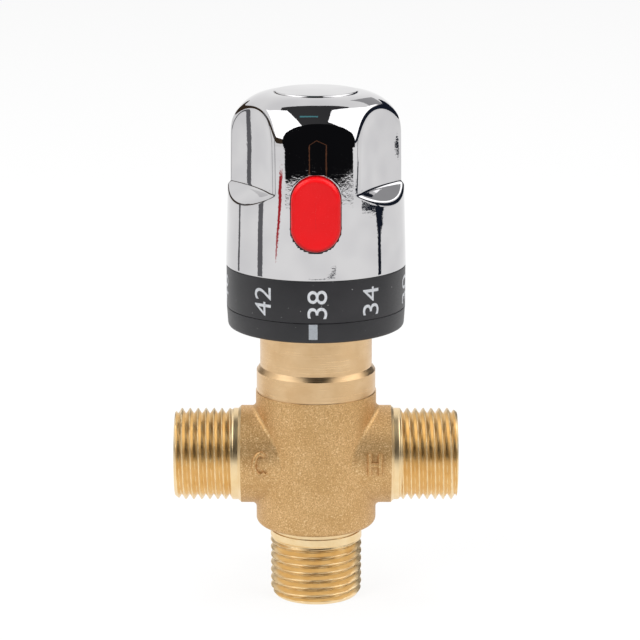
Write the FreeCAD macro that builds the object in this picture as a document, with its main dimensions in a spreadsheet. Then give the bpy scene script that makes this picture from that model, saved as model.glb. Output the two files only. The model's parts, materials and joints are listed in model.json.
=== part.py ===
import FreeCAD, Part

# Thermostatic mixing valve: brass body with three G1/2 male ports, thermostatic cartridge, numbered
# dial and chromed knob with a safety button. Millimetres, +Z up. The origin is the middle of the
# outlet's end face, the knob turns about Z, the two inlets lie along X and the button faces -Y.

import math
import os
import re

import Sketcher
from FreeCAD import Placement, Rotation, Vector

# The sizes that can be set one by one.
SIZES = {
    # ports, G1/2 male threads
    "thread_r": 10.4, "tip_r": 9.5, "tip_chamfer": 1.2, "port_bore_r": 7.4,
    "outlet_length": 15.4, "inlet_height": 32.9, "inlet_reach": 31.95, "inlet_length": 14.4,
    "boss_r": 11.05, "boss_chamfer": 0.6, "inlet_depth": 17.95, "passage_r": 2.9, "passage_lift": 3.9,
    # cast and turned outside of the body
    "relief_r": 10.1, "relief_height": 1.2, "shoulder_rise": 0.6, "shoulder_bend": 1.3, "body_r": 13.6,
    "cast_rise": 15.1, "collar_r": 13.4, "collar_height": 4.9, "collar_chamfer": 1.1, "neck_r": 12.6,
    "ring_seat_rise": 30.5, "spigot_r": 11.85, "spigot_rise": 3.1, "spigot_flat": 11.2, "blend_r": 1.2,
    # cavity of the body and the cartridge housing in it
    "cavity_r": 10.2, "cavity_drop": 13.9, "housing_bore_r": 8.4, "nut_bore_r": 6.9,
    "gland_bore_r": 8.2, "gland_depth": 4.5, "spanner_width": 2.0, "spanner_length": 2.0,
    "spanner_depth": 1.5, "annulus_r": 9.4, "annulus_height": 6.7,
    "half_land": 1.3, "hot_seat_drop": 4.9, "cold_seat_lift": 5.1, "window_height": 3.3,
    "window_width": 7.0, "hex_across": 21.0, "hex_height": 2.5, "stem_r": 10.0, "stem_rise": 3.2,
    "stem_flat": 9.4, "seal_wire_r": 0.5, "seal_groove": 1.0, "low_seal_rise": 4.0, "high_seal_gap": 2.1,
    # hot seat, shuttle and sensor
    "seat_inset": 0.3, "seat_bore_r": 7.0, "seat_floor": 1.9, "seat_hole_r": 5.2,
    "hot_gap": 0.7, "cold_gap": 0.55, "shuttle_bore_r": 6.9, "hub_lift": 2.1, "hub_r": 5.2,
    "web_thick": 2.0, "web_open": 60.0, "web_count": 4, "shuttle_seal_r": 0.36,
    "bulb_r": 3.9, "bulb_bend": 1.95, "bulb_length": 13.2,
    "sensor_flange": 2.0, "guide_r": 3.0, "guide_rise": 5.0, "piston_r": 1.6, "piston_bore": 4.0,
    # adjusting nut and what it carries
    "collar_thick": 1.8, "nut_gap": 1.5, "nut_wall": 3.5, "nut_length": 13.8, "skirt_bore_r": 5.3,
    "screw_thread_r": 2.95, "ear_r": 7.6, "ear_root": 5.8, "ear_width": 3.0, "ear_length": 6.5,
    "nut_clip_lip": 1.0, "nut_clip_thick": 0.8, "nut_clip_depth": 0.6, "nut_clip_width": 1.2,
    "nut_clip_arc": 330.0, "cup_thick": 1.5, "cup_pocket": 0.7, "cup_boss_r": 2.6, "cup_boss_rise": 1.0,
    # spindle
    "spindle_r": 4.0, "spindle_collar_r": 6.5, "spindle_drop": 8.2, "spindle_rise": 10.1,
    "spindle_seal_r": 0.4, "spline_count": 12, "spline_r": 0.5, "screw_hole_r": 2.0,
    "screw_depth": 9.0, "screw_head_r": 3.6, "screw_head": 2.4, "screw_hex": 3.0,
    # springs: wire radii, coil radii and turns
    "return_wire_r": 0.4, "return_coil_r": 6.0, "return_turns": 5.5,
    "overtravel_wire_r": 0.5, "overtravel_coil_r": 4.3, "overtravel_turns": 4.0,
    "check_wire_r": 0.3, "check_coil_r": 3.4, "check_turns": 4.0,
    "button_wire_r": 0.3, "button_coil_r": 2.9, "button_turns": 4.0,
    # check valves and strainers in the inlets
    "check_length": 11.3, "check_bore_r": 6.2, "check_seat": 1.5, "check_seat_r": 4.5,
    "check_web": 1.5, "check_web_inset": 1.5, "check_hub_r": 2.2, "check_hub": 3.4, "check_stem_r": 1.2,
    "check_window_r": 1.4, "check_window_at": 4.2, "check_windows": 6, "check_seal_r": 0.3,
    "check_seal_inset": 3.0, "poppet_r": 5.4, "poppet_thick": 1.5, "poppet_stem": 5.0,
    "poppet_nose": 0.8, "poppet_draft": 1.0, "strainer_thick": 0.9, "mesh_hole_r": 0.8, "mesh_step": 2.6,
    "mesh_hexagon": 6,
    # index ring, dial ring and stop ring
    "ring_inset": 0.1, "ring_taper": 0.3, "ring_bend": 0.8, "ring_wall": 1.8, "ring_web": 2.0,
    "index_height": 4.6, "seam": 0.1, "dial_height": 9.3, "dial_lip": 1.5, "dial_spigot": 2.0,
    "dial_spigot_wall": 0.9, "ring_clip_r": 13.2, "ring_clip_thick": 0.9, "ring_clip_depth": 0.9,
    "stop_inset": 1.5, "stop_thick": 2.0, "stop_wall": 2.0, "stop_rise": 3.5, "stem_clip_r": 11.2,
    "stem_clip_thick": 0.7, "stem_clip_depth": 0.6, "hot_turn": 108.0, "cold_turn": 144.0,
    "ring_clip_arc": 325.0, "stop_spare": 1.0,
    # knob shell, cap and carrier
    "knob_low_r": 20.1, "knob_taper": 0.85, "knob_height": 39.0, "crown_flat": 9.3,
    "skirt_inset": 2.1, "knob_wall": 2.6, "scoop_count": 5, "scoop_step": 60.0, "scoop_r": 45.7,
    "scoop_set": 41.1, "scoop_ledge": 18.5, "ledge_slope": 35.0, "scoop_reach": 10.0,
    "scoop_edge": 0.5, "cap_r": 9.05, "cap_thick": 1.6, "cap_inset": 0.5, "cap_skirt_r": 8.6,
    "cap_skirt": 3.6, "cap_wall": 1.2, "cap_dome": 0.3,
    "disc_thick": 2.5, "socket_rise": 0.8, "hub_boss_r": 7.0, "hub_gap": 0.4, "hub_roof": 2.0,
    "tower_half": 6.6, "tower_wall": 1.2, "tower_gap": 0.5, "tower_back": 8.6, "tower_rise": 16.7,
    "tower_back_wall": 2.0, "lug_half": 2.2, "lug_wall": 1.6,
    # safety button and latch
    "button_half": 5.4, "button_height": 16.4, "button_centre": 14.8, "button_proud": 1.6,
    "button_edge": 1.2, "button_flange": 1.0, "button_flange_inset": 4.6, "button_flange_thick": 1.5,
    "button_travel": 2.0, "latch_half": 3.0, "latch_thick": 1.6, "latch_overlap": 6.2,
    # clearances, and how far a cut runs past the face that it opens
    "overcut": 1.0,
    "running": 0.05, "fit_gap": 0.1, "hole_gap": 0.25, "foot_gap": 0.35,
}

# Levels and radii that follow from the sizes, as expressions on them.
PLACES = {
    "boss_end": "inlet_reach - inlet_length",
    "inlet_stop": "inlet_reach - inlet_depth",
    "cast_top": "inlet_height + cast_rise",
    "collar_top": "cast_top + collar_height",
    "ring_seat": "inlet_height + ring_seat_rise",
    "cavity_floor": "inlet_height - cavity_drop",
    "relief_top": "outlet_length + relief_height",
    "shoulder_top": "relief_top + shoulder_rise",
    "body_top": "ring_seat + spigot_rise",
    "hex_top": "body_top + hex_height",
    "housing_top": "hex_top + stem_rise",
    "housing_r": "cavity_r - running",
    "hot_seat_top": "inlet_height - hot_seat_drop",
    "cold_seat_low": "inlet_height + cold_seat_lift",
    "hot_annulus_low": "inlet_height - half_land - annulus_height",
    "cold_annulus_top": "inlet_height + half_land + annulus_height",
    "thrust_face": "body_top - gland_depth",
    "collar_low": "thrust_face - collar_thick",
    "collar_floor": "collar_low - 2 * fit_gap",
    "nut_top": "collar_floor - nut_gap",
    "nut_low": "nut_top - nut_length",
    "nut_roof": "nut_top - nut_wall",
    "nut_clip_low": "nut_low + nut_clip_lip",
    "nut_clip_top": "nut_clip_low + nut_clip_thick",
    "hub_top": "inlet_height + hub_lift",
    "web_low": "hub_top - web_thick",
    "guide_top": "hub_top + sensor_flange + guide_rise",
    "seat_low": "cavity_floor + seat_inset",
    "seat_floor_top": "seat_low + seat_floor",
    "dial_low": "ring_seat + index_height",
    "dial_top": "dial_low + dial_height",
    "knob_top": "dial_top + knob_height",
    "knob_high_r": "knob_low_r - knob_taper",
    "crown_r": "knob_high_r - crown_flat",
    "skirt_r": "knob_low_r - skirt_inset",
    "scoop_axis": "knob_low_r + scoop_set",
    "ring_r": "knob_low_r - ring_inset",
    "ring_low_r": "ring_r - ring_taper",
    "stop_r": "skirt_r - stop_inset",
    "disc_low": "dial_top + dial_spigot",
    "disc_top": "disc_low + disc_thick",
    "stop_top": "hex_top + stop_thick",
    "spindle_top": "housing_top + spindle_rise",
    "carrier_top": "spindle_top + 2 * fit_gap + hub_roof",
    "check_in": "inlet_stop + fit_gap",
    "check_out": "check_in + check_length",
    "check_seat_in": "check_out - check_seat",
    "check_web_low": "check_in + check_web_inset",
    "check_web_top": "check_web_low + check_web",
    "poppet_out": "check_seat_in - running",
    "poppet_in": "poppet_out - poppet_thick",
    "cap_seat": "knob_top - cap_inset - cap_thick",
    "button_z": "dial_top + button_centre",
    "half_oblong": "button_height / 2 - button_half",
    "button_face": "knob_low_r + button_proud",
    "button_back": "knob_low_r - button_flange_inset - button_flange_thick",
    "tower_front": "button_back - tower_gap",
    "latch_low": "stop_top + stem_clip_thick + fit_gap / 2 + foot_gap",
    "lug_in": "stop_r - stop_wall + 2 * fit_gap",
}

# Counts and directions that the kind of part fixes: two alike, and the front (-Y) of a plan.
PAIR = "2"
FRONT = "(-90)"

SAVED = []


def bound(text):
    """An expression as the document writes it: sizes become cells, places are opened up."""
    def cell(word):
        name = word.group()
        if name in PLACES:
            return "(" + bound(PLACES[name]) + ")"
        return "sizes." + name if name in SIZES else name
    return re.sub(r"[a-z_]\w*", cell, str(text))


def make_document():
    """The document and its sheet of sizes."""
    document = FreeCAD.newDocument("thermostatic_mixing_valve")
    sheet = document.addObject("Spreadsheet::Sheet", "sizes")
    for row, (name, number) in enumerate(SIZES.items(), start=1):
        sheet.set(f"A{row}", name)
        sheet.set(f"B{row}", str(number))
        sheet.setAlias(f"B{row}", name)
    document.recompute()
    return document, sheet


doc, sizes = make_document()


def value(text):
    """The number that an expression has now."""
    return float(sizes.evalExpression(bound(text)))


def tie(thing, prop, text):
    thing.setExpression(prop, bound(text))


# ---------------------------------------------------------------- sketches and features

def new_body(name):
    body = doc.addObject("PartDesign::Body", name)
    body.Label = name
    return body


def origin_feature(body, role):
    return next(feature for feature in body.Origin.OriginFeatures if feature.Role == role)


def new_sketch(body, name, plane, shift):
    sketch = body.newObject("Sketcher::SketchObject", name)
    sketch.AttachmentSupport = [(origin_feature(body, plane), "")]
    sketch.MapMode = "FlatFace"
    for letter, text in zip("xyz", shift):
        tie(sketch, "AttachmentOffset.Base." + letter, text)
    return sketch


def pin_point(sketch, edge, spot, x_text, y_text):
    """Hold one point of an edge at a place given by two expressions."""
    for kind, text in (("DistanceX", x_text), ("DistanceY", y_text)):
        if text is not None:
            number = sketch.addConstraint(Sketcher.Constraint(kind, -1, 1, edge, spot, value(text)))
            tie(sketch, f"Constraints[{number}]", text)


def draw_outline(sketch, corners):
    """One closed outline. A corner is (x, y), or (x, y, centre x, centre y) after an arc."""
    spots = [Vector(value(corner[0]), value(corner[1]), 0) for corner in corners]
    edges = []
    for index, corner in enumerate(corners):
        start, stop = spots[index - 1], spots[index]
        if len(corner) == 2:
            number = sketch.addGeometry(Part.LineSegment(start, stop), False)
            edges.append((number, 1, 2))
            continue
        centre = Vector(value(corner[2]), value(corner[3]), 0)
        ray_in, ray_out = start - centre, stop - centre
        leftward = ray_in.cross(ray_out).z > -1e-9
        first, last = (ray_in, ray_out) if leftward else (ray_out, ray_in)
        circle = Part.Circle(centre, Vector(0, 0, 1), ray_in.Length)
        arc = Part.ArcOfCircle(circle, math.atan2(first.y, first.x), math.atan2(last.y, last.x))
        number = sketch.addGeometry(arc, False)
        edges.append((number, 1, 2) if leftward else (number, 2, 1))
    for index, (number, _, end) in enumerate(edges):
        following, begin, _ = edges[(index + 1) % len(edges)]
        sketch.addConstraint(Sketcher.Constraint("Coincident", number, end, following, begin))
    for index, corner in enumerate(corners):
        number, _, end = edges[index]
        pin_point(sketch, number, end, corner[0], corner[1])
        if len(corner) == 4:
            chord = spots[index] - spots[index - 1]
            flat = abs(chord.x) >= abs(chord.y)
            pin_point(sketch, number, 3, None if flat else corner[2], corner[3] if flat else None)


def draw_circle(sketch, x_text, y_text, radius):
    circle = Part.Circle(Vector(value(x_text), value(y_text), 0), Vector(0, 0, 1), value(radius))
    number = sketch.addGeometry(circle, False)
    pin_point(sketch, number, 3, x_text, y_text)
    ring = sketch.addConstraint(Sketcher.Constraint("Radius", number, value(radius)))
    tie(sketch, f"Constraints[{ring}]", radius)


def box_corners(x_low, y_low, x_high, y_high):
    return [(x_low, y_low), (x_high, y_low), (x_high, y_high), (x_low, y_high)]


def flatted_corners(radius, flat, along_x=True):
    """A circle with two flats, which stand across X or across Y."""
    side = f"sqrt(({radius})^2 - ({flat})^2)"
    if along_x:
        return [(flat, f"-({side})", "0", "0"), (flat, side), (f"-({flat})", side, "0", "0"),
                (f"-({flat})", f"-({side})")]
    return [(side, f"-({flat})"), (side, flat, "0", "0"), (f"-({side})", flat),
            (f"-({side})", f"-({flat})", "0", "0")]


def sector_corners(inner, outer, start, stop):
    """A piece of a ring between two angles, in degrees from the sketch's x axis."""
    return [(f"({inner}) * cos({start})", f"({inner}) * sin({start})", "0", "0"),
            (f"({outer}) * cos({start})", f"({outer}) * sin({start})"),
            (f"({outer}) * cos({stop})", f"({outer}) * sin({stop})", "0", "0"),
            (f"({inner}) * cos({stop})", f"({inner}) * sin({stop})")]


def turned(body, name, outlines, about="V_Axis", shift=("0", "0", "0"), cut=False, angle="360"):
    """Add or cut a turned form: outlines in the XZ plane, turned about the sketch's own axis."""
    sketch = new_sketch(body, name + "_outline", "XZ_Plane", shift)
    for corners in outlines:
        draw_outline(sketch, corners)
    feature = body.newObject("PartDesign::Groove" if cut else "PartDesign::Revolution", name)
    feature.Profile = sketch
    feature.ReferenceAxis = (sketch, [about])
    tie(feature, "Angle", angle)
    return feature


def pushed(body, name, plane, draw, start, length, cut=False):
    """Add or cut a prism, from start along the plane's normal. draw(sketch) draws its outline."""
    sketch = new_sketch(body, name + "_outline", plane, ("0", "0", start))
    draw(sketch)
    feature = body.newObject("PartDesign::Pocket" if cut else "PartDesign::Pad", name)
    feature.Profile = sketch
    tie(feature, "Length", length)
    feature.Reversed = cut
    return feature


def around(body, name, feature, count, angle="360", axis=None):
    """Repeat a feature about the body's upright axis, or about another one."""
    pattern = body.newObject("PartDesign::PolarPattern", name)
    pattern.Originals = [feature]
    pattern.Axis = axis or (origin_feature(body, "Z_Axis"), [""])
    tie(pattern, "Angle", angle)
    tie(pattern, "Occurrences", count)
    body.Tip = pattern
    return pattern


def rounded(body, name, radius, chosen):
    """Fillet the edges of the body for which chosen(edge) is true."""
    doc.recompute()
    base = body.Tip
    names = [f"Edge{index}" for index, edge in enumerate(base.Shape.Edges, start=1) if chosen(edge)]
    fillet = body.newObject("PartDesign::Fillet", name)
    fillet.Base = (base, names)
    tie(fillet, "Radius", radius)
    return fillet


def middle(edge):
    return edge.valueAt((edge.FirstParameter + edge.LastParameter) / 2)


def level_circle(edge, level, radius):
    """True for a round edge about Z at this level and radius."""
    curve = getattr(edge, "Curve", None)
    return (isinstance(curve, Part.Circle) and abs(curve.Center.z - value(level)) < 0.01
            and abs(curve.Radius - value(radius)) < 0.01
            and math.hypot(curve.Center.x, curve.Center.y) < 0.01)


# What turns a Z axis to the axis of a part that lies, and where its own x axis then points.
LYING = {
    "+Z": (Rotation(), Vector(1, 0, 0)),
    "+X": (Rotation(Vector(0, 1, 0), 90), Vector(0, 0, -1)),
    "-X": (Rotation(Vector(0, 1, 0), -90), Vector(0, 0, 1)),
    "-Y": (Rotation(Vector(1, 0, 0), 90), Vector(1, 0, 0)),
}


def place(thing, axis, spot, turn=Rotation()):
    """Set a Part object at spot, three expressions, with its Z along axis."""
    thing.Placement = Placement(Vector(), LYING[axis][0].multiply(turn))
    for letter, text in zip("xyz", spot):
        tie(thing, "Placement.Base." + letter, text)


def o_ring(name, coil_r, wire_r, spot, axis="+Z"):
    ring = doc.addObject("Part::Torus", name)
    ring.Label = name
    tie(ring, "Radius1", coil_r)
    tie(ring, "Radius2", wire_r)
    place(ring, axis, spot)
    return ring


TURNS_A_FACE = 0.5


def coil_spring(name, axis, spot, length, coil_r, wire_r, turns):
    """A round-wire spring between two seats: spot is the middle of its first seat."""
    lead = LYING[axis][0].multVec(Vector(0, 0, 1))
    side = LYING[axis][1]
    start = [f"{text} + ({wire_r}) * ({way})" for text, way in zip(spot, lead)]
    helix = doc.addObject("Part::Helix", name + "_path")
    tie(helix, "Radius", coil_r)
    tie(helix, "Height", f"({length}) - 2 * ({wire_r})")
    tie(helix, "Pitch", f"(({length}) - 2 * ({wire_r})) / ({turns})")
    helix.SegmentLength = TURNS_A_FACE
    place(helix, axis, start)
    wire = doc.addObject("Part::Circle", name + "_wire")
    tie(wire, "Radius", wire_r)
    place(wire, axis, [f"{text} + ({coil_r}) * ({way})" for text, way in zip(start, side)],
          Rotation(Vector(1, 0, 0), 90))
    doc.recompute()
    spring = doc.addObject("Part::Sweep", name)
    spring.Label = name
    spring.Sections = [wire]
    spring.Spine = (helix, [f"Edge{number + 1}" for number in range(len(helix.Shape.Edges))])
    spring.Solid = True
    spring.Frenet = True
    return spring


def keep(thing):
    """Note a finished sub-part: its Label names its file."""
    SAVED.append(thing)
    return thing


# ---------------------------------------------------------------- valve body

def make_valve_body():
    body = new_body("valve_body")
    turned(body, "barrel", [[
        ("0", "0"), ("tip_r", "0"), ("thread_r", "tip_chamfer"), ("thread_r", "outlet_length"),
        ("relief_r", "outlet_length"), ("relief_r", "relief_top"), ("body_r", "shoulder_top"),
        ("body_r", "cast_top"),
        ("collar_r", "cast_top"), ("collar_r", "collar_top"),
        ("neck_r", "collar_top + collar_chamfer"), ("neck_r", "ring_seat"),
        ("spigot_r", "ring_seat"), ("spigot_r", "body_top"), ("0", "body_top")]])
    turned(body, "bosses", [[
        ("-(boss_end)", "0"), ("boss_end", "0"), ("boss_end", "boss_r - boss_chamfer"),
        ("boss_end - boss_chamfer", "boss_r"), ("-(boss_end - boss_chamfer)", "boss_r"),
        ("-(boss_end)", "boss_r - boss_chamfer")]], "H_Axis", ("0", "inlet_height", "0"))
    rounded(body, "boss_blends", "blend_r", is_boss_root)
    rounded(body, "shoulder_bend", "shoulder_bend", lambda edge: level_circle(edge, "shoulder_top", "body_r"))
    turned(body, "inlet_ends", [[
        ("-(inlet_reach)", "0"), ("inlet_reach", "0"), ("inlet_reach", "tip_r"),
        ("inlet_reach - tip_chamfer", "thread_r"), ("-(inlet_reach - tip_chamfer)", "thread_r"),
        ("-(inlet_reach)", "tip_r")]], "H_Axis", ("0", "inlet_height", "0"))
    turned(body, "cavity", [[
        ("0", "-overcut"), ("port_bore_r", "-overcut"), ("port_bore_r", "cavity_floor"),
        ("cavity_r", "cavity_floor"), ("cavity_r", "body_top + overcut"),
        ("0", "body_top + overcut")]], cut=True)
    turned(body, "inlet_bores", [
        box_corners("inlet_stop", "0", "inlet_reach + overcut", "port_bore_r"),
        box_corners("-(inlet_reach + overcut)", "0", "-(inlet_stop)", "port_bore_r"),
    ], "H_Axis", ("0", "inlet_height", "0"), cut=True)
    turned(body, "cold_passage", [box_corners(
        "-(inlet_stop + overcut)", "0", "-(cavity_r - overcut)", "passage_r")],
        "H_Axis", ("0", "inlet_height + passage_lift", "0"), cut=True)
    turned(body, "hot_passage", [box_corners(
        "cavity_r - overcut", "0", "inlet_stop + overcut", "passage_r")],
        "H_Axis", ("0", "inlet_height - passage_lift", "0"), cut=True)
    turned(body, "clip_groove", [box_corners(
        "spigot_r - ring_clip_depth", "ring_seat + ring_web + running / 2", "spigot_r + overcut",
        "ring_seat + ring_web + ring_clip_thick + running * 3 / 2")], cut=True)

    def around_flats(sketch):
        draw_circle(sketch, "0", "0", "neck_r + overcut")
        draw_outline(sketch, flatted_corners("spigot_r + fit_gap", "spigot_flat", along_x=False))

    pushed(body, "spigot_flats", "XY_Plane", around_flats, "ring_seat", "spigot_rise + overcut", cut=True)
    keep(body)


def is_boss_root(edge):
    """The edges where the two bosses run into the barrel."""
    spot = middle(edge)
    off_axis = math.hypot(spot.y, spot.z - value("inlet_height"))
    return (abs(off_axis - value("boss_r")) < 0.02
            and abs(math.hypot(spot.x, spot.y) - value("body_r")) < 0.02
            and not isinstance(edge.Curve, Part.Line))


# ---------------------------------------------------------------- cartridge

def make_cartridge_housing():
    body = new_body("cartridge_housing")
    groove_r = "housing_r - seal_groove"
    grooves = []
    for level in SEAL_LEVELS.values():
        grooves += [("housing_r", f"{level} - seal_wire_r - fit_gap"),
                    (groove_r, f"{level} - seal_wire_r - fit_gap"),
                    (groove_r, f"{level} + seal_wire_r + fit_gap"),
                    ("housing_r", f"{level} + seal_wire_r + fit_gap")]
    low, land, high = grooves[:4], grooves[4:8], grooves[8:]
    annuli = {"hot": ("hot_annulus_low", "inlet_height - half_land"),
              "cold": ("inlet_height + half_land", "cold_annulus_top")}
    steps = {side: [("housing_r", start), ("annulus_r", start), ("annulus_r", stop), ("housing_r", stop)]
             for side, (start, stop) in annuli.items()}
    turned(body, "barrel", [[
        ("housing_bore_r", "cavity_floor"), ("housing_r", "cavity_floor"), *low, *steps["hot"], *land,
        *steps["cold"], *high, ("housing_r", "hex_top"), ("stem_r", "hex_top"), ("stem_r", "housing_top"),
        ("gland_bore_r", "housing_top"), ("gland_bore_r", "collar_floor"),
        ("nut_bore_r", "collar_floor"), ("nut_bore_r", "cold_seat_low"),
        ("housing_bore_r", "cold_seat_low")]])

    def hexagon(sketch):
        reach = "hex_across / 2 / cos(30)"
        draw_outline(sketch, [(f"{reach} * cos({60 * step})", f"{reach} * sin({60 * step})")
                              for step in range(6)])
        draw_circle(sketch, "0", "0", "housing_r - running")

    pushed(body, "hexagon", "XY_Plane", hexagon, "body_top", "hex_height")

    def window_pair(low_text, high_text):
        return lambda sketch: draw_outline(
            sketch, box_corners("-window_width / 2", low_text, "window_width / 2", high_text))

    for name, low_text, high_text in (
            ("hot", "hot_seat_top", "hot_seat_top + window_height"),
            ("cold", "cold_seat_low - window_height", "cold_seat_low")):
        for plane in ("XZ_Plane", "YZ_Plane"):
            pushed(body, f"{name}_windows_{plane[:2]}", plane, window_pair(low_text, high_text),
                   "-(cavity_r + overcut)", "2 * (cavity_r + overcut)", cut=True)
    slot = pushed(body, "ear_slot", "XY_Plane", lambda sketch: draw_outline(sketch, box_corners(
        "nut_bore_r - overcut", "-ear_width / 2 - fit_gap", "ear_r + fit_gap", "ear_width / 2 + fit_gap")),
        "nut_top - ear_length - nut_gap", "collar_floor - nut_top + ear_length + nut_gap + fit_gap",
        cut=True)
    around(body, "ear_slots", slot, PAIR)
    turned(body, "stem_clip_groove", [box_corners(
        "stem_r - stem_clip_depth", "stop_top", "stem_r + overcut", "stop_top + stem_clip_thick + fit_gap")],
        cut=True)

    def around_flats(sketch):
        draw_circle(sketch, "0", "0", "stem_r + overcut")
        draw_outline(sketch, flatted_corners("stem_r + fit_gap", "stem_flat"))

    pushed(body, "stem_flats", "XY_Plane", around_flats, "hex_top", "stem_rise + overcut", cut=True)
    keep(body)


SEAL_LEVELS = {
    "lower_cartridge_seal": "cavity_floor + low_seal_rise",
    "middle_cartridge_seal": "inlet_height",
    "upper_cartridge_seal": "cold_annulus_top + high_seal_gap",
}


def make_cartridge_seals():
    for name, level in SEAL_LEVELS.items():
        keep(o_ring(name, "cavity_r - seal_wire_r", "seal_wire_r", ("0", "0", level)))


def make_hot_seat():
    body = new_body("hot_seat")
    outer = "housing_bore_r - running"
    turned(body, "ring", [[
        ("seat_hole_r", "seat_low"), (outer, "seat_low"), (outer, "hot_seat_top"),
        ("seat_bore_r", "hot_seat_top"), ("seat_bore_r", "seat_floor_top"),
        ("seat_hole_r", "seat_floor_top")]])
    keep(body)


def make_gland():
    body = new_body("spindle_gland")
    outer = "gland_bore_r - running"
    bore = "spindle_r + running"
    turned(body, "plug", [box_corners(bore, "thrust_face", outer, "housing_top")])
    slot = pushed(body, "spanner_slot", "XY_Plane", lambda sketch: draw_outline(sketch, box_corners(
        "gland_bore_r - spanner_length", "-spanner_width / 2",
        "gland_bore_r + overcut", "spanner_width / 2")),
        "housing_top - spanner_depth", "spanner_depth + overcut", cut=True)
    around(body, "spanner_slots", slot, PAIR)
    keep(body)


def make_shuttle():
    body = new_body("shuttle")
    outer = "housing_bore_r - running"
    groove_r = f"{outer} - 2 * shuttle_seal_r"
    groove = "shuttle_seal_r + fit_gap"
    turned(body, "sleeve", [[
        ("shuttle_bore_r", "hot_seat_top + hot_gap"), (outer, "hot_seat_top + hot_gap"),
        (outer, f"inlet_height - ({groove})"), (groove_r, f"inlet_height - ({groove})"),
        (groove_r, f"inlet_height + {groove}"), (outer, f"inlet_height + {groove}"),
        (outer, "cold_seat_low - cold_gap"), ("shuttle_bore_r", "cold_seat_low - cold_gap"),
        ("shuttle_bore_r", "hub_top"), ("bulb_r + fit_gap", "hub_top"), ("bulb_r + fit_gap", "web_low"),
        ("shuttle_bore_r", "web_low")]])
    gap = pushed(body, "web_gap", "XY_Plane", lambda sketch: draw_outline(sketch, sector_corners(
        "hub_r", "shuttle_bore_r - fit_gap", "-web_open / 2", "web_open / 2")),
        "web_low - overcut", "web_thick + 2 * overcut", cut=True)
    around(body, "web_gaps", gap, "web_count")
    keep(body)
    keep(o_ring("shuttle_seal", f"{outer} - shuttle_seal_r", "shuttle_seal_r - running / 5",
                ("0", "0", "inlet_height")))


def make_sensor():
    body = new_body("wax_sensor")
    flange_r = "hub_r - fit_gap"
    turned(body, "capsule", [[
        ("0", "hub_top - bulb_length"), ("bulb_r - bulb_bend", "hub_top - bulb_length"),
        ("bulb_r", "hub_top - bulb_length + bulb_bend",
         "bulb_r - bulb_bend", "hub_top - bulb_length + bulb_bend"),
        ("bulb_r", "hub_top"), (flange_r, "hub_top"), (flange_r, "hub_top + sensor_flange"),
        ("guide_r", "hub_top + sensor_flange"), ("guide_r", "guide_top"),
        ("piston_r + running", "guide_top"), ("piston_r + running", "guide_top - piston_bore"),
        ("0", "guide_top - piston_bore")]])
    keep(body)
    body = new_body("sensor_piston")
    turned(body, "rod", [box_corners(
        "0", "guide_top - piston_bore", "piston_r", "nut_clip_top + cup_pocket")])
    keep(body)


def make_adjusting_nut():
    body = new_body("adjusting_nut")
    outer = "nut_bore_r - running"
    groove_r = "skirt_bore_r + nut_clip_depth"
    turned(body, "cup", [[
        ("skirt_bore_r", "nut_low"), (outer, "nut_low"), (outer, "nut_top"),
        ("screw_thread_r + running", "nut_top"), ("screw_thread_r + running", "nut_roof"),
        ("skirt_bore_r", "nut_roof"), ("skirt_bore_r", "nut_clip_top + running"),
        (groove_r, "nut_clip_top + running"), (groove_r, "nut_clip_low - running"),
        ("skirt_bore_r", "nut_clip_low - running")]])
    ear = pushed(body, "ear", "XY_Plane", lambda sketch: draw_outline(sketch, box_corners(
        "ear_root", "-ear_width / 2", "ear_r", "ear_width / 2")),
        "nut_top - ear_length", "ear_length")
    around(body, "ears", ear, PAIR)
    keep(body)
    snap_ring("nut_clip", "skirt_bore_r - nut_clip_width", "skirt_bore_r + nut_clip_depth - running",
              "nut_clip_low", "nut_clip_top", "nut_clip_arc")


def snap_ring(name, inner, outer, low, high, angle):
    """A flat open ring, its gap towards the front."""
    body = new_body(name)
    turned(body, "ring", [box_corners(inner, low, outer, high)], angle=angle)
    keep(body)


def make_overtravel_cup():
    body = new_body("overtravel_cup")
    flange_r = "skirt_bore_r - fit_gap"
    cup_top = "nut_clip_top + cup_thick"
    bore = "piston_r + fit_gap"
    turned(body, "cup", [[
        (bore, "nut_clip_top"), (flange_r, "nut_clip_top"), (flange_r, cup_top),
        ("cup_boss_r", cup_top), ("cup_boss_r", f"{cup_top} + cup_boss_rise"),
        ("0", f"{cup_top} + cup_boss_rise"), ("0", "nut_clip_top + cup_pocket"),
        (bore, "nut_clip_top + cup_pocket")]])
    keep(body)


def make_cartridge_springs():
    keep(coil_spring("return_spring", "+Z", ("0", "0", "seat_floor_top"), "web_low - (seat_floor_top)",
                     "return_coil_r", "return_wire_r", "return_turns"))
    keep(coil_spring("overtravel_spring", "+Z", ("0", "0", "nut_clip_top + cup_thick"),
                     "nut_roof - (nut_clip_top) - cup_thick",
                     "overtravel_coil_r", "overtravel_wire_r", "overtravel_turns"))


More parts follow.
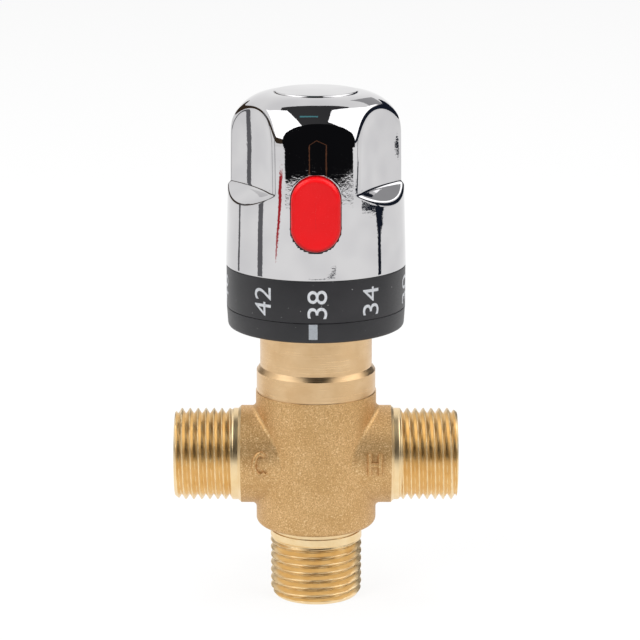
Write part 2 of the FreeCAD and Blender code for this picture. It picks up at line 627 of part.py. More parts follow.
def make_spindle():
    body = new_body("spindle")
    groove_low = "(thrust_face + housing_top) / 2 - spindle_seal_r - fit_gap"
    groove_high = "(thrust_face + housing_top) / 2 + spindle_seal_r + fit_gap"
    groove_r = "spindle_r - 2 * spindle_seal_r"
    turned(body, "shaft", [[
        ("0", "collar_low - spindle_drop"), ("screw_thread_r", "collar_low - spindle_drop"),
        ("screw_thread_r", "collar_low"), ("spindle_collar_r", "collar_low"),
        ("spindle_collar_r", "thrust_face - running"), ("spindle_r", "thrust_face - running"),
        ("spindle_r", groove_low), (groove_r, groove_low), (groove_r, groove_high),
        ("spindle_r", groove_high), ("spindle_r", "spindle_top"), ("0", "spindle_top")]])
    turned(body, "screw_hole", [box_corners(
        "0", "spindle_top - screw_depth - overcut", "screw_hole_r", "spindle_top + overcut")], cut=True)
    groove = pushed(body, "spline_groove", "XY_Plane", lambda sketch: draw_circle(
        sketch, "spindle_r", "0", "spline_r"),
        "housing_top + hub_gap / 2", "spindle_rise + overcut", cut=True)
    around(body, "spline", groove, "spline_count")
    keep(body)
    keep(o_ring("spindle_seal", "spindle_r - spindle_seal_r", "spindle_seal_r",
                ("0", "0", "(thrust_face + housing_top) / 2")))


# ---------------------------------------------------------------- check valves

def make_check_valve(name, sign):
    """The strainer and non-return valve in one inlet. sign is the side of X it lies on."""
    def out(text):
        return f"{sign} * ({text})"

    def turned_out(body, feature, corners, cut=False):
        turned(body, feature, [[(out(x), y) for x, y in corners]], "H_Axis", ("0", "inlet_height", "0"), cut)

    def through_x(body, feature, off_axis, radius, low, thick):
        """A round hole along X through a wall that starts at low."""
        start = f"{low} - overcut" if sign > 0 else f"-({low}) - {thick} - overcut"
        return pushed(body, feature, "YZ_Plane", lambda sketch: draw_circle(
            sketch, off_axis, "inlet_height", radius), start, f"{thick} + 2 * overcut", cut=True)

    outer = "port_bore_r - running"
    seal_at = "check_seat_in - check_seal_inset"
    body = new_body(f"{name}_check_housing")
    turned_out(body, "barrel", [
        ("check_in", "check_bore_r"), ("check_web_low", "check_bore_r"),
        ("check_web_low", "check_stem_r + running"),
        ("check_web_low + check_hub", "check_stem_r + running"), ("check_web_low + check_hub", "check_hub_r"),
        ("check_web_top", "check_hub_r"), ("check_web_top", "check_bore_r"),
        ("check_seat_in", "check_bore_r"), ("check_seat_in", "check_seat_r"), ("check_out", "check_seat_r"),
        ("check_out", outer), (f"{seal_at} + check_seal_r + fit_gap", outer),
        (f"{seal_at} + check_seal_r + fit_gap", f"{outer} - 2 * check_seal_r"),
        (f"{seal_at} - check_seal_r - fit_gap", f"{outer} - 2 * check_seal_r"),
        (f"{seal_at} - check_seal_r - fit_gap", outer), ("check_in", outer)])
    axis = inlet_axis(body)
    hole = through_x(body, "window", "check_window_at", "check_window_r", "check_web_low", "check_web")
    around(body, "windows", hole, "check_windows", axis=axis)
    keep(body)

    body = new_body(f"{name}_check_poppet")
    turned_out(body, "mushroom", [
        ("poppet_in - poppet_stem", "0"), ("poppet_in - poppet_stem", "check_stem_r"),
        ("poppet_in", "check_stem_r"), ("poppet_in", "poppet_r"), ("poppet_out", "poppet_r"),
        ("poppet_out", "check_seat_r - 2 * fit_gap"),
        ("poppet_out + poppet_nose", "check_seat_r - poppet_draft"), ("poppet_out + poppet_nose", "0")])
    keep(body)

    keep(o_ring(f"{name}_check_seal", f"{outer} - check_seal_r + running", "check_seal_r",
                (out(seal_at), "0", "inlet_height"), "+X"))
    keep(coil_spring(f"{name}_check_spring", "+X" if sign > 0 else "-X",
                     (out("check_web_top"), "0", "inlet_height"), "poppet_in - (check_web_top)",
                     "check_coil_r", "check_wire_r", "check_turns"))

    body = new_body(f"{name}_strainer")
    turned_out(body, "disc", box_corners("check_out", "0", "check_out + strainer_thick", outer))
    axis = inlet_axis(body)
    through_x(body, "middle_hole", "0", "mesh_hole_r", "check_out", "strainer_thick")
    for ring in (1, 2):
        hole = through_x(body, f"hole_{ring}", f"{ring} * mesh_step", "mesh_hole_r",
                         "check_out", "strainer_thick")
        around(body, f"holes_{ring}", hole, f"{ring} * mesh_hexagon", axis=axis)
    keep(body)


def inlet_axis(body):
    """The axis of the two inlets, as the x axis of a sketch at their height."""
    return new_sketch(body, "inlet_axis", "XZ_Plane", ("0", "inlet_height", "0")), ["H_Axis"]


# ---------------------------------------------------------------- rings

def make_index_ring():
    body = new_body("index_ring")
    rim_top = "dial_low - seam"
    web_top = "ring_seat + ring_web"
    rim_r = "ring_r - ring_wall"
    turned(body, "ring", [[
        ("0", "ring_seat"), ("ring_low_r - ring_bend", "ring_seat"),
        ("ring_low_r", "ring_seat + ring_bend", "ring_low_r - ring_bend", "ring_seat + ring_bend"),
        ("ring_r", rim_top), (rim_r, rim_top), (rim_r, web_top), ("0", web_top)]])
    pushed(body, "bore", "XY_Plane", lambda sketch: draw_outline(sketch, flatted_corners(
        "spigot_r + running", "spigot_flat + running", along_x=False)),
        "ring_seat - overcut", "ring_web + 2 * overcut", cut=True)
    keep(body)
    snap_ring("index_ring_clip", "spigot_r - ring_clip_depth + running", "ring_clip_r",
              "ring_seat + ring_web + running", "ring_seat + ring_web + ring_clip_thick + running",
              "ring_clip_arc")


def make_dial_ring():
    body = new_body("dial_ring")
    wall_r = "ring_r - ring_wall"
    spigot_r = "skirt_r - fit_gap"
    turned(body, "ring", [[
        (wall_r, "dial_low"), ("ring_r", "dial_low"), ("ring_r", "dial_top"), (spigot_r, "dial_top"),
        (spigot_r, "disc_low"), (f"{spigot_r} - dial_spigot_wall", "disc_low"),
        (f"{spigot_r} - dial_spigot_wall", "dial_top - dial_lip"), (wall_r, "dial_top - dial_lip")]])
    keep(body)


def make_stop_ring():
    body = new_body("stop_ring")

    def flange(sketch):
        draw_circle(sketch, "0", "0", "stop_r")
        draw_outline(sketch, flatted_corners("stem_r + running", "stem_flat + running"))

    pushed(body, "flange", "XY_Plane", flange, "hex_top", "stop_thick")
    half_lug = "atan(lug_half / (lug_in)) / 1 deg"
    start = f"hot_turn + {half_lug} + stop_spare + {FRONT}"
    stop = f"360 + {FRONT} - cold_turn - {half_lug} - stop_spare"
    pushed(body, "stop_sector", "XY_Plane", lambda sketch: draw_outline(sketch, sector_corners(
        "stop_r - stop_wall", "stop_r", start, stop)), "hex_top", "stop_thick + stop_rise")
    keep(body)
    snap_ring("stop_ring_clip", "stem_r - stem_clip_depth + running", "stem_clip_r",
              "stop_top + fit_gap / 2", "stop_top + stem_clip_thick + fit_gap / 2", "ring_clip_arc")


# ---------------------------------------------------------------- knob

def scooped_form(name, grow, outline):
    """The knob's turned form with a ring of finger scoops, all set inward by grow."""
    body = new_body(name)
    turned(body, "crown", [outline])
    slope = "tan(ledge_slope)"
    drop = f"({grow}) / cos(ledge_slope)"
    wall = f"scoop_r + ({grow})"
    ledge = "dial_top + scoop_ledge"
    scoop = turned(body, "scoop", [[
        (wall, f"{ledge} - {drop} + ({grow}) * {slope}"),
        (wall, "knob_top + overcut"), (f"{wall} - scoop_reach", "knob_top + overcut"),
        (f"{wall} - scoop_reach", f"{ledge} - {drop} + (({grow}) - scoop_reach) * {slope}")]],
        shift=("scoop_axis * sin(scoop_step)", "0", "scoop_axis * cos(scoop_step)"), cut=True)
    around(body, "scoops", scoop, "scoop_count", angle="scoop_step * (scoop_count - 1)")
    return body


def oblong_corners(grow):
    radius = f"button_half + {grow}"
    low = "button_z - half_oblong"
    high = "button_z + half_oblong"
    return [(radius, low, "0", low), (radius, high), (f"-({radius})", high, "0", high),
            (f"-({radius})", low)]


def make_knob_shell():
    side_top = "knob_top - crown_r"
    centre_r = "knob_high_r - crown_r"
    lean = "(knob_low_r - knob_high_r) / (knob_height - crown_r)"
    outside = scooped_form("knob_outside", "0", [
        ("0", "dial_top"), ("knob_low_r", "dial_top"), ("knob_high_r", side_top),
        (centre_r, "knob_top", centre_r, side_top), ("0", "knob_top")])
    rounded(outside, "scoop_edges", "scoop_edge", is_scoop_edge)
    pushed(outside, "button_hole", "XZ_Plane", lambda sketch: draw_outline(
        sketch, oblong_corners("hole_gap")), "tower_back", "knob_low_r", cut=True)
    turned(outside, "cap_seat", [
        box_corners("0", "cap_seat", "cap_r", "knob_top + overcut")], cut=True)
    turned(outside, "cap_hole", [
        box_corners("0", "knob_top - 2 * knob_wall", "cap_skirt_r + running", "cap_seat + fit_gap")],
        cut=True)
    inside = scooped_form("knob_inside", "knob_wall", [
        ("0", "dial_top - overcut"), ("skirt_r", "dial_top - overcut"), ("skirt_r", "disc_top"),
        (f"knob_low_r - knob_wall - (disc_top - (dial_top)) * {lean}", "disc_top"),
        ("knob_high_r - knob_wall", side_top),
        (centre_r, "knob_top - knob_wall", centre_r, side_top), ("0", "knob_top - knob_wall")])
    shell = doc.addObject("Part::Cut", "knob_shell")
    shell.Label = "knob_shell"
    shell.Base = outside
    shell.Tool = inside
    keep(shell)


def is_scoop_edge(edge):
    """The edges where the scoops break the outside, apart from the ridges between two scoops."""
    spot = middle(edge)
    step = value("scoop_step")
    azimuth = math.degrees(math.atan2(spot.x, -spot.y)) % step
    on_ridge = abs(azimuth - step / 2) < 0.1
    in_corner = abs(spot.z - value("dial_top + scoop_ledge")) < 0.01
    about_z = isinstance(edge.Curve, Part.Circle) and math.hypot(*edge.Curve.Center[:2]) < 0.01
    above_ledge = spot.z > value("dial_top + scoop_ledge - scoop_reach / 2")
    return above_ledge and not (on_ridge or in_corner or about_z)


def make_knob_cap():
    body = new_body("knob_cap")
    outer = "cap_r - running"
    cap_top = "cap_seat + cap_thick"
    dome_r = f"(({outer})^2 + cap_dome^2) / (2 * cap_dome)"
    skirt_in = "cap_skirt_r - cap_wall"
    turned(body, "disc", [[
        ("0", "cap_seat"), (skirt_in, "cap_seat"), (skirt_in, "cap_seat - cap_skirt"),
        ("cap_skirt_r", "cap_seat - cap_skirt"), ("cap_skirt_r", "cap_seat"), (outer, "cap_seat"),
        (outer, cap_top), ("0", f"{cap_top} + cap_dome", "0", f"{cap_top} + cap_dome - {dome_r}")]])
    keep(body)


def make_knob_carrier():
    body = new_body("knob_carrier")
    boss_low = "housing_top + hub_gap"
    turned(body, "disc", [[
        ("0", boss_low), ("hub_boss_r", boss_low), ("hub_boss_r", "disc_low"),
        ("skirt_r - fit_gap", "disc_low"), ("skirt_r - fit_gap", "disc_top"), ("hub_boss_r", "disc_top"),
        ("hub_boss_r", "carrier_top"), ("0", "carrier_top")]])
    outer = "tower_half + tower_wall"
    pushed(body, "tower", "XY_Plane", lambda sketch: draw_outline(sketch, [
        (f"-({outer})", "-tower_front"), ("-tower_half", "-tower_front"), ("-tower_half", "-tower_back"),
        ("tower_half", "-tower_back"), ("tower_half", "-tower_front"), (outer, "-tower_front"),
        (outer, "-(tower_back - tower_back_wall)"), (f"-({outer})", "-(tower_back - tower_back_wall)")]),
        "disc_low", "disc_thick + tower_rise")
    pushed(body, "stop_lug", "XY_Plane", lambda sketch: draw_outline(sketch, box_corners(
        "-lug_half", "-(lug_in + lug_wall)", "lug_half", "-(lug_in)")),
        "stop_top + hub_gap", "disc_low - (stop_top) - hub_gap + disc_thick / 2")
    turned(body, "bore", [
        box_corners("0", f"{boss_low} - overcut", "spindle_r + running", "spindle_top + 2 * fit_gap")],
        cut=True)
    turned(body, "screw_way", [
        box_corners("0", "spindle_top", "screw_hole_r + fit_gap", "carrier_top + overcut")], cut=True)
    rib = pushed(body, "spline_rib", "XY_Plane", lambda sketch: draw_circle(
        sketch, "spindle_r + running", "0", "spline_r - running"),
        boss_low, "spindle_top - (housing_top) - hub_gap")
    around(body, "spline_ribs", rib, "spline_count")
    pushed(body, "latch_slot", "XY_Plane", lambda sketch: draw_outline(sketch, box_corners(
        "-latch_half - 3 * fit_gap", "-(button_back) - 3 * fit_gap", "latch_half + 3 * fit_gap",
        "-(button_back) + latch_thick + button_travel + 3 * fit_gap")),
        "disc_low - overcut", "disc_thick + 2 * overcut", cut=True)
    keep(body)


def make_knob_screw():
    body = new_body("knob_screw")
    turned(body, "screw", [[
        ("0", "spindle_top - screw_depth"), ("screw_hole_r - running", "spindle_top - screw_depth"),
        ("screw_hole_r - running", "carrier_top"), ("screw_head_r", "carrier_top"),
        ("screw_head_r", "carrier_top + screw_head"), ("0", "carrier_top + screw_head")]])
    reach = "screw_hex / 2 / cos(30)"
    pushed(body, "hex_socket", "XY_Plane", lambda sketch: draw_outline(
        sketch, [(f"{reach} * cos({60 * step})", f"{reach} * sin({60 * step})") for step in range(6)]),
        "carrier_top + socket_rise", "screw_head", cut=True)
    keep(body)


# ---------------------------------------------------------------- safety button

def make_safety_button():
    body = new_body("safety_button")
    pushed(body, "flange", "XZ_Plane", lambda sketch: draw_outline(
        sketch, oblong_corners("button_flange")), "button_back", "button_flange_thick")
    pushed(body, "face", "XZ_Plane", lambda sketch: draw_outline(
        sketch, oblong_corners("0")), "button_back + button_flange_thick / 2",
        "button_face - (button_back) - button_flange_thick / 2")
    rounded(body, "face_edge", "button_edge", lambda edge: abs(
        middle(edge).y + value("button_face")) < 0.001)
    keep(body)

    body = new_body("button_latch")
    latch_top = "button_z - button_height / 2 + latch_overlap"
    pushed(body, "plate", "XZ_Plane", lambda sketch: draw_outline(sketch, box_corners(
        "-latch_half", "latch_low", "latch_half", latch_top)), "button_back - latch_thick", "latch_thick")
    keep(body)
    keep(coil_spring("button_spring", "-Y", ("0", "-tower_back", "button_z + button_height / 8"),
                     "button_back - tower_back", "button_coil_r", "button_wire_r", "button_turns"))


def check_and_save():
    doc.recompute()
    for thing in doc.Objects:
        if "Invalid" in thing.State or "Error" in thing.State:
            raise RuntimeError(f"{thing.Name} did not build: {thing.State}")
    os.makedirs("parts", exist_ok=True)
    for thing in SAVED:
        shape = thing.Shape
        if shape.isNull() or not shape.isValid() or shape.Volume <= 0 or len(shape.Solids) != 1:
            raise RuntimeError(f"{thing.Label} is not one valid solid")
        shape.exportStep(f"parts/{thing.Label}.step")
        print(f"{thing.Label:24s} {shape.Volume:10.2f} mm3, {len(shape.Faces)} faces")


make_valve_body()
make_cartridge_housing()
make_cartridge_seals()
make_hot_seat()
make_gland()
make_shuttle()
make_sensor()
make_adjusting_nut()
make_overtravel_cup()
make_cartridge_springs()
make_spindle()
make_check_valve("cold", -1)
make_check_valve("hot", 1)
make_index_ring()
make_dial_ring()
make_stop_ring()
make_knob_shell()
make_knob_cap()
make_knob_carrier()
make_knob_screw()
make_safety_button()
check_and_save()
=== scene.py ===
"""The looks of a thermostatic mixing valve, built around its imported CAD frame.

Lengths here are in millimetres, in the row frame: z is up, the outlet's end face is at z = 0, the inlets lie
along x, and the knob's button faces -y. Blender's own lengths are in metres.
"""

import json
import math

import bmesh
import bpy
import numpy as np
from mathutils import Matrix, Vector
from mathutils.bvhtree import BVHTree


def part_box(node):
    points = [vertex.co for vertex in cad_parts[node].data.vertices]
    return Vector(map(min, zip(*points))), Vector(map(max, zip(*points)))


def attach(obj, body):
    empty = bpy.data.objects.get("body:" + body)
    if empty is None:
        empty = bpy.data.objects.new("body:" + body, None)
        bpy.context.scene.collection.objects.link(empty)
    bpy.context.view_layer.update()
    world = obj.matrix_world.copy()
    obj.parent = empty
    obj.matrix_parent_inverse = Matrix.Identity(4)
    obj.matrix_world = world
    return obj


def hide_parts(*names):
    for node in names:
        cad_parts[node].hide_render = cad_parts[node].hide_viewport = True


MM = 0.001

# Ports: male threads of half an inch, 14 to the inch. Each has a length of turned outside, a bare end next
# to the casting, and a band where the machining runs on into the casting.
PITCH = 1.814
CREST_R = 10.4
ROOT_R = 9.2
TIP_R = 9.5
TIP_CHAMFER = 1.2
THREAD_ROUNDING = 0.93
RUN_IN = 0.2
RUN_OUT = 0.9
PORT_STEPS = 144
ROWS_A_PITCH = 18
OUTLET = {"length": 15.4, "bare": 1.5, "machined": 1.15}
INLET = {"length": 14.4, "bare": 1.1, "machined": 0.55}

# Body levels.
CAST_TOP = 48.0
INLET_Z = 32.9

# The C and H cast on the bosses: round beads, part sunk.
BEAD_R = 0.5
MARK_LIFT = 0.42
MARK_Z = 33.5
MARK_HALF_HEIGHT = 2.35
MARK_HALF_WIDTH = 1.45
COLD_MARK_X = -12.4
HOT_MARK_X = 13.2
HOT_MARK_HALF_WIDTH = 1.16

# Knob: a turned form with a ring of finger scoops.
KNOB_LOW_R = 20.1
KNOB_HIGH_R = 19.25
CROWN_R = 9.95
CROWN_DROP = 0.45
KNOB_COLUMNS = 464
SCOOP_AZIMUTHS = (60, 120, 180, 240, 300)
SCOOP_R = 45.7
SCOOP_AXIS = 61.2
SCOOP_BLEND = 0.25
NO_SCOOP = 99.0
LEDGE_ABOVE_DIAL = 18.5
LEDGE_SLOPE = math.tan(math.radians(35))
SCOOP_ROUNDING = 1.1
LEDGE_ROUNDING = 0.5
CAP_R = 9.3
CAP_RIM_DROP = 0.1
CAP_EDGE = 0.6
CAP_DOME = 0.2
CAP_SKIRT = 1.2
CAP_COLUMNS = 192

# Safety button, an oblong standing out of the knob's front.
BUTTON_HALF = 5.36
BUTTON_STRAIGHT = 2.8
BUTTON_EDGE = 0.9
BUTTON_DISH = 0.12
BUTTON_GAP = 0.09
BUTTON_DEPTH = 6.0

# The opening for the button: its room at the surface, and then how far each step inward draws in and sinks.
HOLE_RIM = 0.12
HOLE_STEPS = ((0.015, 0.005), (0.04, 0.04), (0.0, 2.4))

# Rings, and the print on them.
RING_R = 20.0
INDEX_LOW_R = 19.7
INDEX_HOLE_R = 12.2
RING_SEAT_R = 18.2
RING_COLUMNS = 256
DIAL_TOP_R = 18.0
UNDER_KNOB = 0.02
PRINT_LIFT = 0.02
NUMERALS = {38: 0.9, 42: -35.5, 46: -83, 50: -115, 34: 37, 30: 79, 26: 115, 22: 150}
NUMERAL_HEIGHT = 4.3
NUMERAL_LENGTH = 6.3
NUMERAL_Z = 72.2
NUMERAL_STRIP = 0.4
INDEX_AZIMUTH = -1.7
INDEX_WIDTH = 1.9
INDEX_STEPS = 8
BARE_BELOW_INDEX = 0.95
BARE_ABOVE_INDEX = 0.12

# Studio, in metres and degrees.
MIDDLE = Vector((0, 0, 0.09))
WHITE = (1, 1, 1, 1)
WORLD_LIGHT = 0.55
FLOOR_LIFT = 0.85
STAND_REACH = 0.40
STAND_HEIGHT = 0.25
CAMERA_PLACE = (0.0009, -0.560, 0.197)
CAMERA_TILT = 13.35
CAMERA_LENS = 144.0


# ---------------------------------------------------------------- meshes

def srgb(red, green, blue):
    """An 8-bit screen colour as Blender's linear colour."""
    def linear(level):
        share = level / 255
        return share / 12.92 if share <= 0.04045 else ((share + 0.055) / 1.055) ** 2.4
    return (linear(red), linear(green), linear(blue), 1.0)


def grid_mesh(name, points, sharp=None):
    """A mesh of quads through an array of points, rows x columns x 3, closed round its columns."""
    rows, columns = points.shape[:2]
    index = np.arange(rows * columns).reshape(rows, columns)
    index = np.concatenate([index, index[:, :1]], axis=1)
    quads = np.stack([index[:-1, :-1], index[:-1, 1:], index[1:, 1:], index[1:, :-1]], axis=-1)
    mesh = bpy.data.meshes.new(name)
    mesh.from_pydata((points.reshape(-1, 3) * MM).tolist(), [], quads.reshape(-1, 4).tolist())
    return smooth(mesh, sharp)


def patch_quads(rows, columns):
    """The quads of an open patch whose points are numbered row by row."""
    return [
        (row * columns + column, row * columns + column + 1,
         (row + 1) * columns + column + 1, (row + 1) * columns + column)
        for row in range(rows - 1) for column in range(columns - 1)]


def smooth(mesh, sharp=None):
    """Shade a mesh smooth, with edges over the angle sharp, in degrees, kept crisp."""
    mesh.polygons.foreach_set("use_smooth", [True] * len(mesh.polygons))
    if sharp:
        mesh.set_sharp_from_angle(angle=math.radians(sharp))
    return mesh


def around_z(path, columns):
    """Points of a turned form, rows x columns x 3, from its path of (r, z)."""
    angles = np.linspace(0, 2 * math.pi, columns, endpoint=False)
    radii = path[:, :1]
    heights = np.broadcast_to(path[:, 1:], (len(path), columns))
    return np.stack([radii * np.cos(angles), radii * np.sin(angles), heights], axis=-1)


def softened(corners, steps=5):
    """A profile through (r, z, rounding) corners, with each corner rounded off."""
    path = []
    for number, (r, z, rounding) in enumerate(corners):
        here = np.array([r, z])
        if rounding == 0 or number in (0, len(corners) - 1):
            path.append(here)
            continue
        before = np.array(corners[number - 1][:2]) - here
        after = np.array(corners[number + 1][:2]) - here
        first = here + before / np.linalg.norm(before) * rounding
        last = here + after / np.linalg.norm(after) * rounding
        for share in np.linspace(0, 1, steps):
            path.append((1 - share) ** 2 * first + 2 * share * (1 - share) * here + share ** 2 * last)
    return np.array(path)


def ring_mesh(name, corners):
    """A turned ring through (r, z, rounding) corners."""
    return grid_mesh(name, around_z(softened(corners), RING_COLUMNS), sharp=35)


def soft_min(first, second, blend):
    """The smaller of two arrays, with a rounded change-over."""
    share = np.clip(0.5 + 0.5 * (second - first) / blend, 0, 1)
    return second + (first - second) * share - blend * share * (1 - share)


def mesh_of(curve):
    """The mesh that a curve or a text makes, under the curve's name."""
    holder = bpy.data.objects.new(curve.name, curve)
    bpy.context.scene.collection.objects.link(holder)
    mesh = bpy.data.meshes.new_from_object(holder)
    bpy.data.objects.remove(holder)
    mesh.name = curve.name
    mesh.materials.clear()
    return mesh


def add_piece(name, mesh, finish, body, replaced=()):
    """Put a piece on its body and in place of the CAD nodes replaced."""
    thing = bpy.data.objects.new(name, mesh)
    bpy.context.scene.collection.objects.link(thing)
    if finish:
        mesh.materials.append(finish)
    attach(thing, body)
    if replaced:
        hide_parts(*replaced)


# ---------------------------------------------------------------- materials

class Finish:
    """A procedural material: one Principled shader, and short calls for the nodes that feed it."""

    def __init__(self, name, metallic=0.0, **fixed):
        """The fixed levels go to the shader's sockets of those names, with _ for each space."""
        self.material = bpy.data.materials.new(name)
        self.material.use_nodes = True
        self.nodes = self.material.node_tree.nodes
        self.links = self.material.node_tree.links
        self.shader = self.nodes["Principled BSDF"]
        self.place = self.nodes.new("ShaderNodeTexCoord").outputs["Object"]
        self.shader.inputs["Metallic"].default_value = metallic
        for socket, level in fixed.items():
            self.shader.inputs[socket.replace("_", " ")].default_value = level

    def stretched(self, x, y, z):
        """Object coordinates scaled by direction, so that grain runs one way."""
        mapping = self.nodes.new("ShaderNodeMapping")
        mapping.inputs["Scale"].default_value = (x, y, z)
        self.links.new(self.place, mapping.inputs["Vector"])
        return mapping.outputs["Vector"]

    def noise(self, size, detail=2.0, place=None):
        """Noise from 0 to 1 with features of about size millimetres."""
        texture = self.nodes.new("ShaderNodeTexNoise")
        texture.inputs["Scale"].default_value = 1 / (size * MM)
        texture.inputs["Detail"].default_value = detail
        self.links.new(place or self.place, texture.inputs["Vector"])
        return texture.outputs["Fac"]

    def ramp(self, level, start, end, low=0.0, high=1.0):
        """Level from start..end spread over low..high."""
        spread = self.nodes.new("ShaderNodeMapRange")
        spread.inputs["From Min"].default_value = start
        spread.inputs["From Max"].default_value = end
        spread.inputs["To Min"].default_value = low
        spread.inputs["To Max"].default_value = high
        self.links.new(level, spread.inputs["Value"])
        return spread.outputs["Result"]

    def mixed(self, share, first, second):
        """A colour between two: each is a colour or another node's output."""
        mix = self.nodes.new("ShaderNodeMix")
        mix.data_type = "RGBA"
        # The node has its sockets once for each type: 6 and 7 are the colours in, and 2 the colour out.
        self.links.new(share, mix.inputs["Factor"])
        for socket, colour in ((mix.inputs[6], first), (mix.inputs[7], second)):
            if isinstance(colour, tuple):
                socket.default_value = colour
            else:
                self.links.new(colour, socket)
        return mix.outputs[2]

    def bump(self, height, depth, strength=1.0, under=None):
        """Surface relief of depth millimetres, on top of the relief under it."""
        bump = self.nodes.new("ShaderNodeBump")
        bump.inputs["Strength"].default_value = strength
        bump.inputs["Distance"].default_value = depth * MM
        self.links.new(height, bump.inputs["Height"])
        if under:
            self.links.new(under, bump.inputs["Normal"])
        return bump.outputs["Normal"]

    def feed(self, **outputs):
        """Link outputs to the shader's sockets and give the material."""
        for socket, output in outputs.items():
            self.links.new(output, self.shader.inputs[socket.replace("_", " ")])
        return self.material


def cast_brass():
    """Shot-blasted casting: fine grain, with pale specks painted in as its glints, over broad, faint clouds
    of tone.
    """
    finish = Finish("cast_brass", metallic=0.75)
    grain = finish.noise(0.3, detail=3.0)
    clouds = finish.noise(6.0, detail=2.0)
    tone = finish.mixed(finish.ramp(clouds, 0.35, 0.65), srgb(219, 177, 119), srgb(232, 192, 136))
    speckled = finish.mixed(finish.ramp(grain, 0.34, 0.56), srgb(196, 151, 95), tone)
    # Pale specks of the grain: painted glints, not a colour of the brass.
    speckled = finish.mixed(finish.ramp(grain, 0.58, 0.7), speckled, srgb(252, 226, 178))
    pits = finish.bump(finish.noise(0.5, detail=3.0), 0.1, 0.55)
    return finish.feed(
        Base_Color=speckled, Roughness=finish.ramp(grain, 0.3, 0.7, 0.42, 0.56),
        Normal=finish.bump(grain, 0.05, 0.5, pits))


def turned_brass():
    """Lathe-turned brass: satin, with fine rings about z and slight tarnish clouds."""
    finish = Finish("turned_brass", metallic=1.0)
    rings = finish.noise(0.16, detail=2.0, place=finish.stretched(0.02, 0.02, 1.0))
    clouds = finish.noise(5.0, detail=3.0)
    tone = finish.mixed(finish.ramp(clouds, 0.35, 0.7), srgb(217, 181, 135), srgb(228, 195, 151))
    return finish.feed(
        Base_Color=tone, Roughness=finish.ramp(rings, 0.3, 0.7, 0.26, 0.38),
        Normal=finish.bump(rings, 0.006, 0.6))


def thread_brass():
    """Freshly cut threads: bright yellow, with faint tool marks."""
    finish = Finish("thread_brass", metallic=1.0)
    marks = finish.noise(0.6, detail=2.0)
    clouds = finish.noise(3.0, detail=3.0)
    tone = finish.mixed(finish.ramp(clouds, 0.3, 0.7), srgb(240, 210, 158), srgb(248, 223, 178))
    return finish.feed(
        Base_Color=tone, Roughness=finish.ramp(marks, 0.3, 0.7, 0.31, 0.4),
        Normal=finish.bump(marks, 0.002, 0.2))


def machined_brass(name):
    """Inner turned parts, plain satin brass."""
    finish = Finish(name, metallic=1.0)
    clouds = finish.noise(2.5, detail=3.0)
    tone = finish.mixed(finish.ramp(clouds, 0.3, 0.7), srgb(205, 165, 105), srgb(221, 183, 126))
    return finish.feed(Base_Color=tone, Roughness=finish.ramp(clouds, 0.3, 0.7, 0.25, 0.4))


def chrome(name):
    """Bright plating over moulded plastic: near-mirror, with the moulding's slow waviness."""
    finish = Finish(name, metallic=1.0)
    waves = finish.noise(7.0, detail=1.0)
    ripples = finish.noise(0.6, detail=3.0)
    tone = finish.mixed(finish.ramp(waves, 0.3, 0.7), srgb(196, 195, 197), srgb(206, 205, 206))
    swell = finish.bump(waves, 0.06, 0.6)
    return finish.feed(
        Base_Color=tone, Roughness=finish.ramp(ripples, 0.3, 0.8, 0.01, 0.03),
        Normal=finish.bump(ripples, 0.006, 0.6, swell))


def black_plastic(name, dark, pale, speck=True):
    """Satin moulded plastic with a few pale dust specks."""
    finish = Finish(name)
    grain = finish.noise(0.25, detail=2.0)
    clouds = finish.noise(8.0, detail=2.0)
    tone = finish.mixed(finish.ramp(clouds, 0.35, 0.65), dark, pale)
    if speck:
        dust = finish.ramp(finish.noise(0.35, detail=0.0), 0.865, 0.885)
        tone = finish.mixed(dust, tone, srgb(190, 190, 188))
    return finish.feed(
        Base_Color=tone, Roughness=finish.ramp(grain, 0.3, 0.7, 0.36, 0.48),
        Normal=finish.bump(grain, 0.006, 0.5))


def red_plastic():
    """Glossy moulded plastic, with a faint unevenness."""
    finish = Finish("button_red", Specular_IOR_Level=0.3)
    clouds = finish.noise(6.0, detail=2.0)
    grain = finish.noise(0.35, detail=2.0)
    tone = finish.mixed(finish.ramp(clouds, 0.3, 0.7), srgb(234, 14, 20), srgb(243, 20, 26))
    return finish.feed(
        Base_Color=tone, Roughness=finish.ramp(grain, 0.3, 0.7, 0.2, 0.28),
        Normal=finish.bump(grain, 0.006, 0.4))


def print_ink(name, worn, clean):
    """Screen print: slightly uneven cover."""
    finish = Finish(name)
    cover = finish.noise(0.45, detail=3.0)
    tone = finish.mixed(finish.ramp(cover, 0.25, 0.55), worn, clean)
    return finish.feed(Base_Color=tone, Roughness=finish.ramp(cover, 0.3, 0.7, 0.42, 0.55))


def seal_rubber():
    """Matte black rubber."""
    finish = Finish("seal_rubber")
    grain = finish.noise(0.2, detail=3.0)
    tone = finish.mixed(finish.ramp(grain, 0.3, 0.7), srgb(28, 28, 29), srgb(44, 44, 45))
    return finish.feed(
        Base_Color=tone, Roughness=finish.ramp(grain, 0.3, 0.7, 0.55, 0.7),
        Normal=finish.bump(grain, 0.01, 0.4))


def drawn_metal(name, dark, pale):
    """Spring wire and sensor shell: drawn metal with fine streaks."""
    finish = Finish(name, metallic=1.0)
    streaks = finish.noise(0.3, detail=3.0)
    tone = finish.mixed(finish.ramp(streaks, 0.3, 0.7), dark, pale)
    return finish.feed(Base_Color=tone, Roughness=finish.ramp(streaks, 0.3, 0.7, 0.22, 0.36))


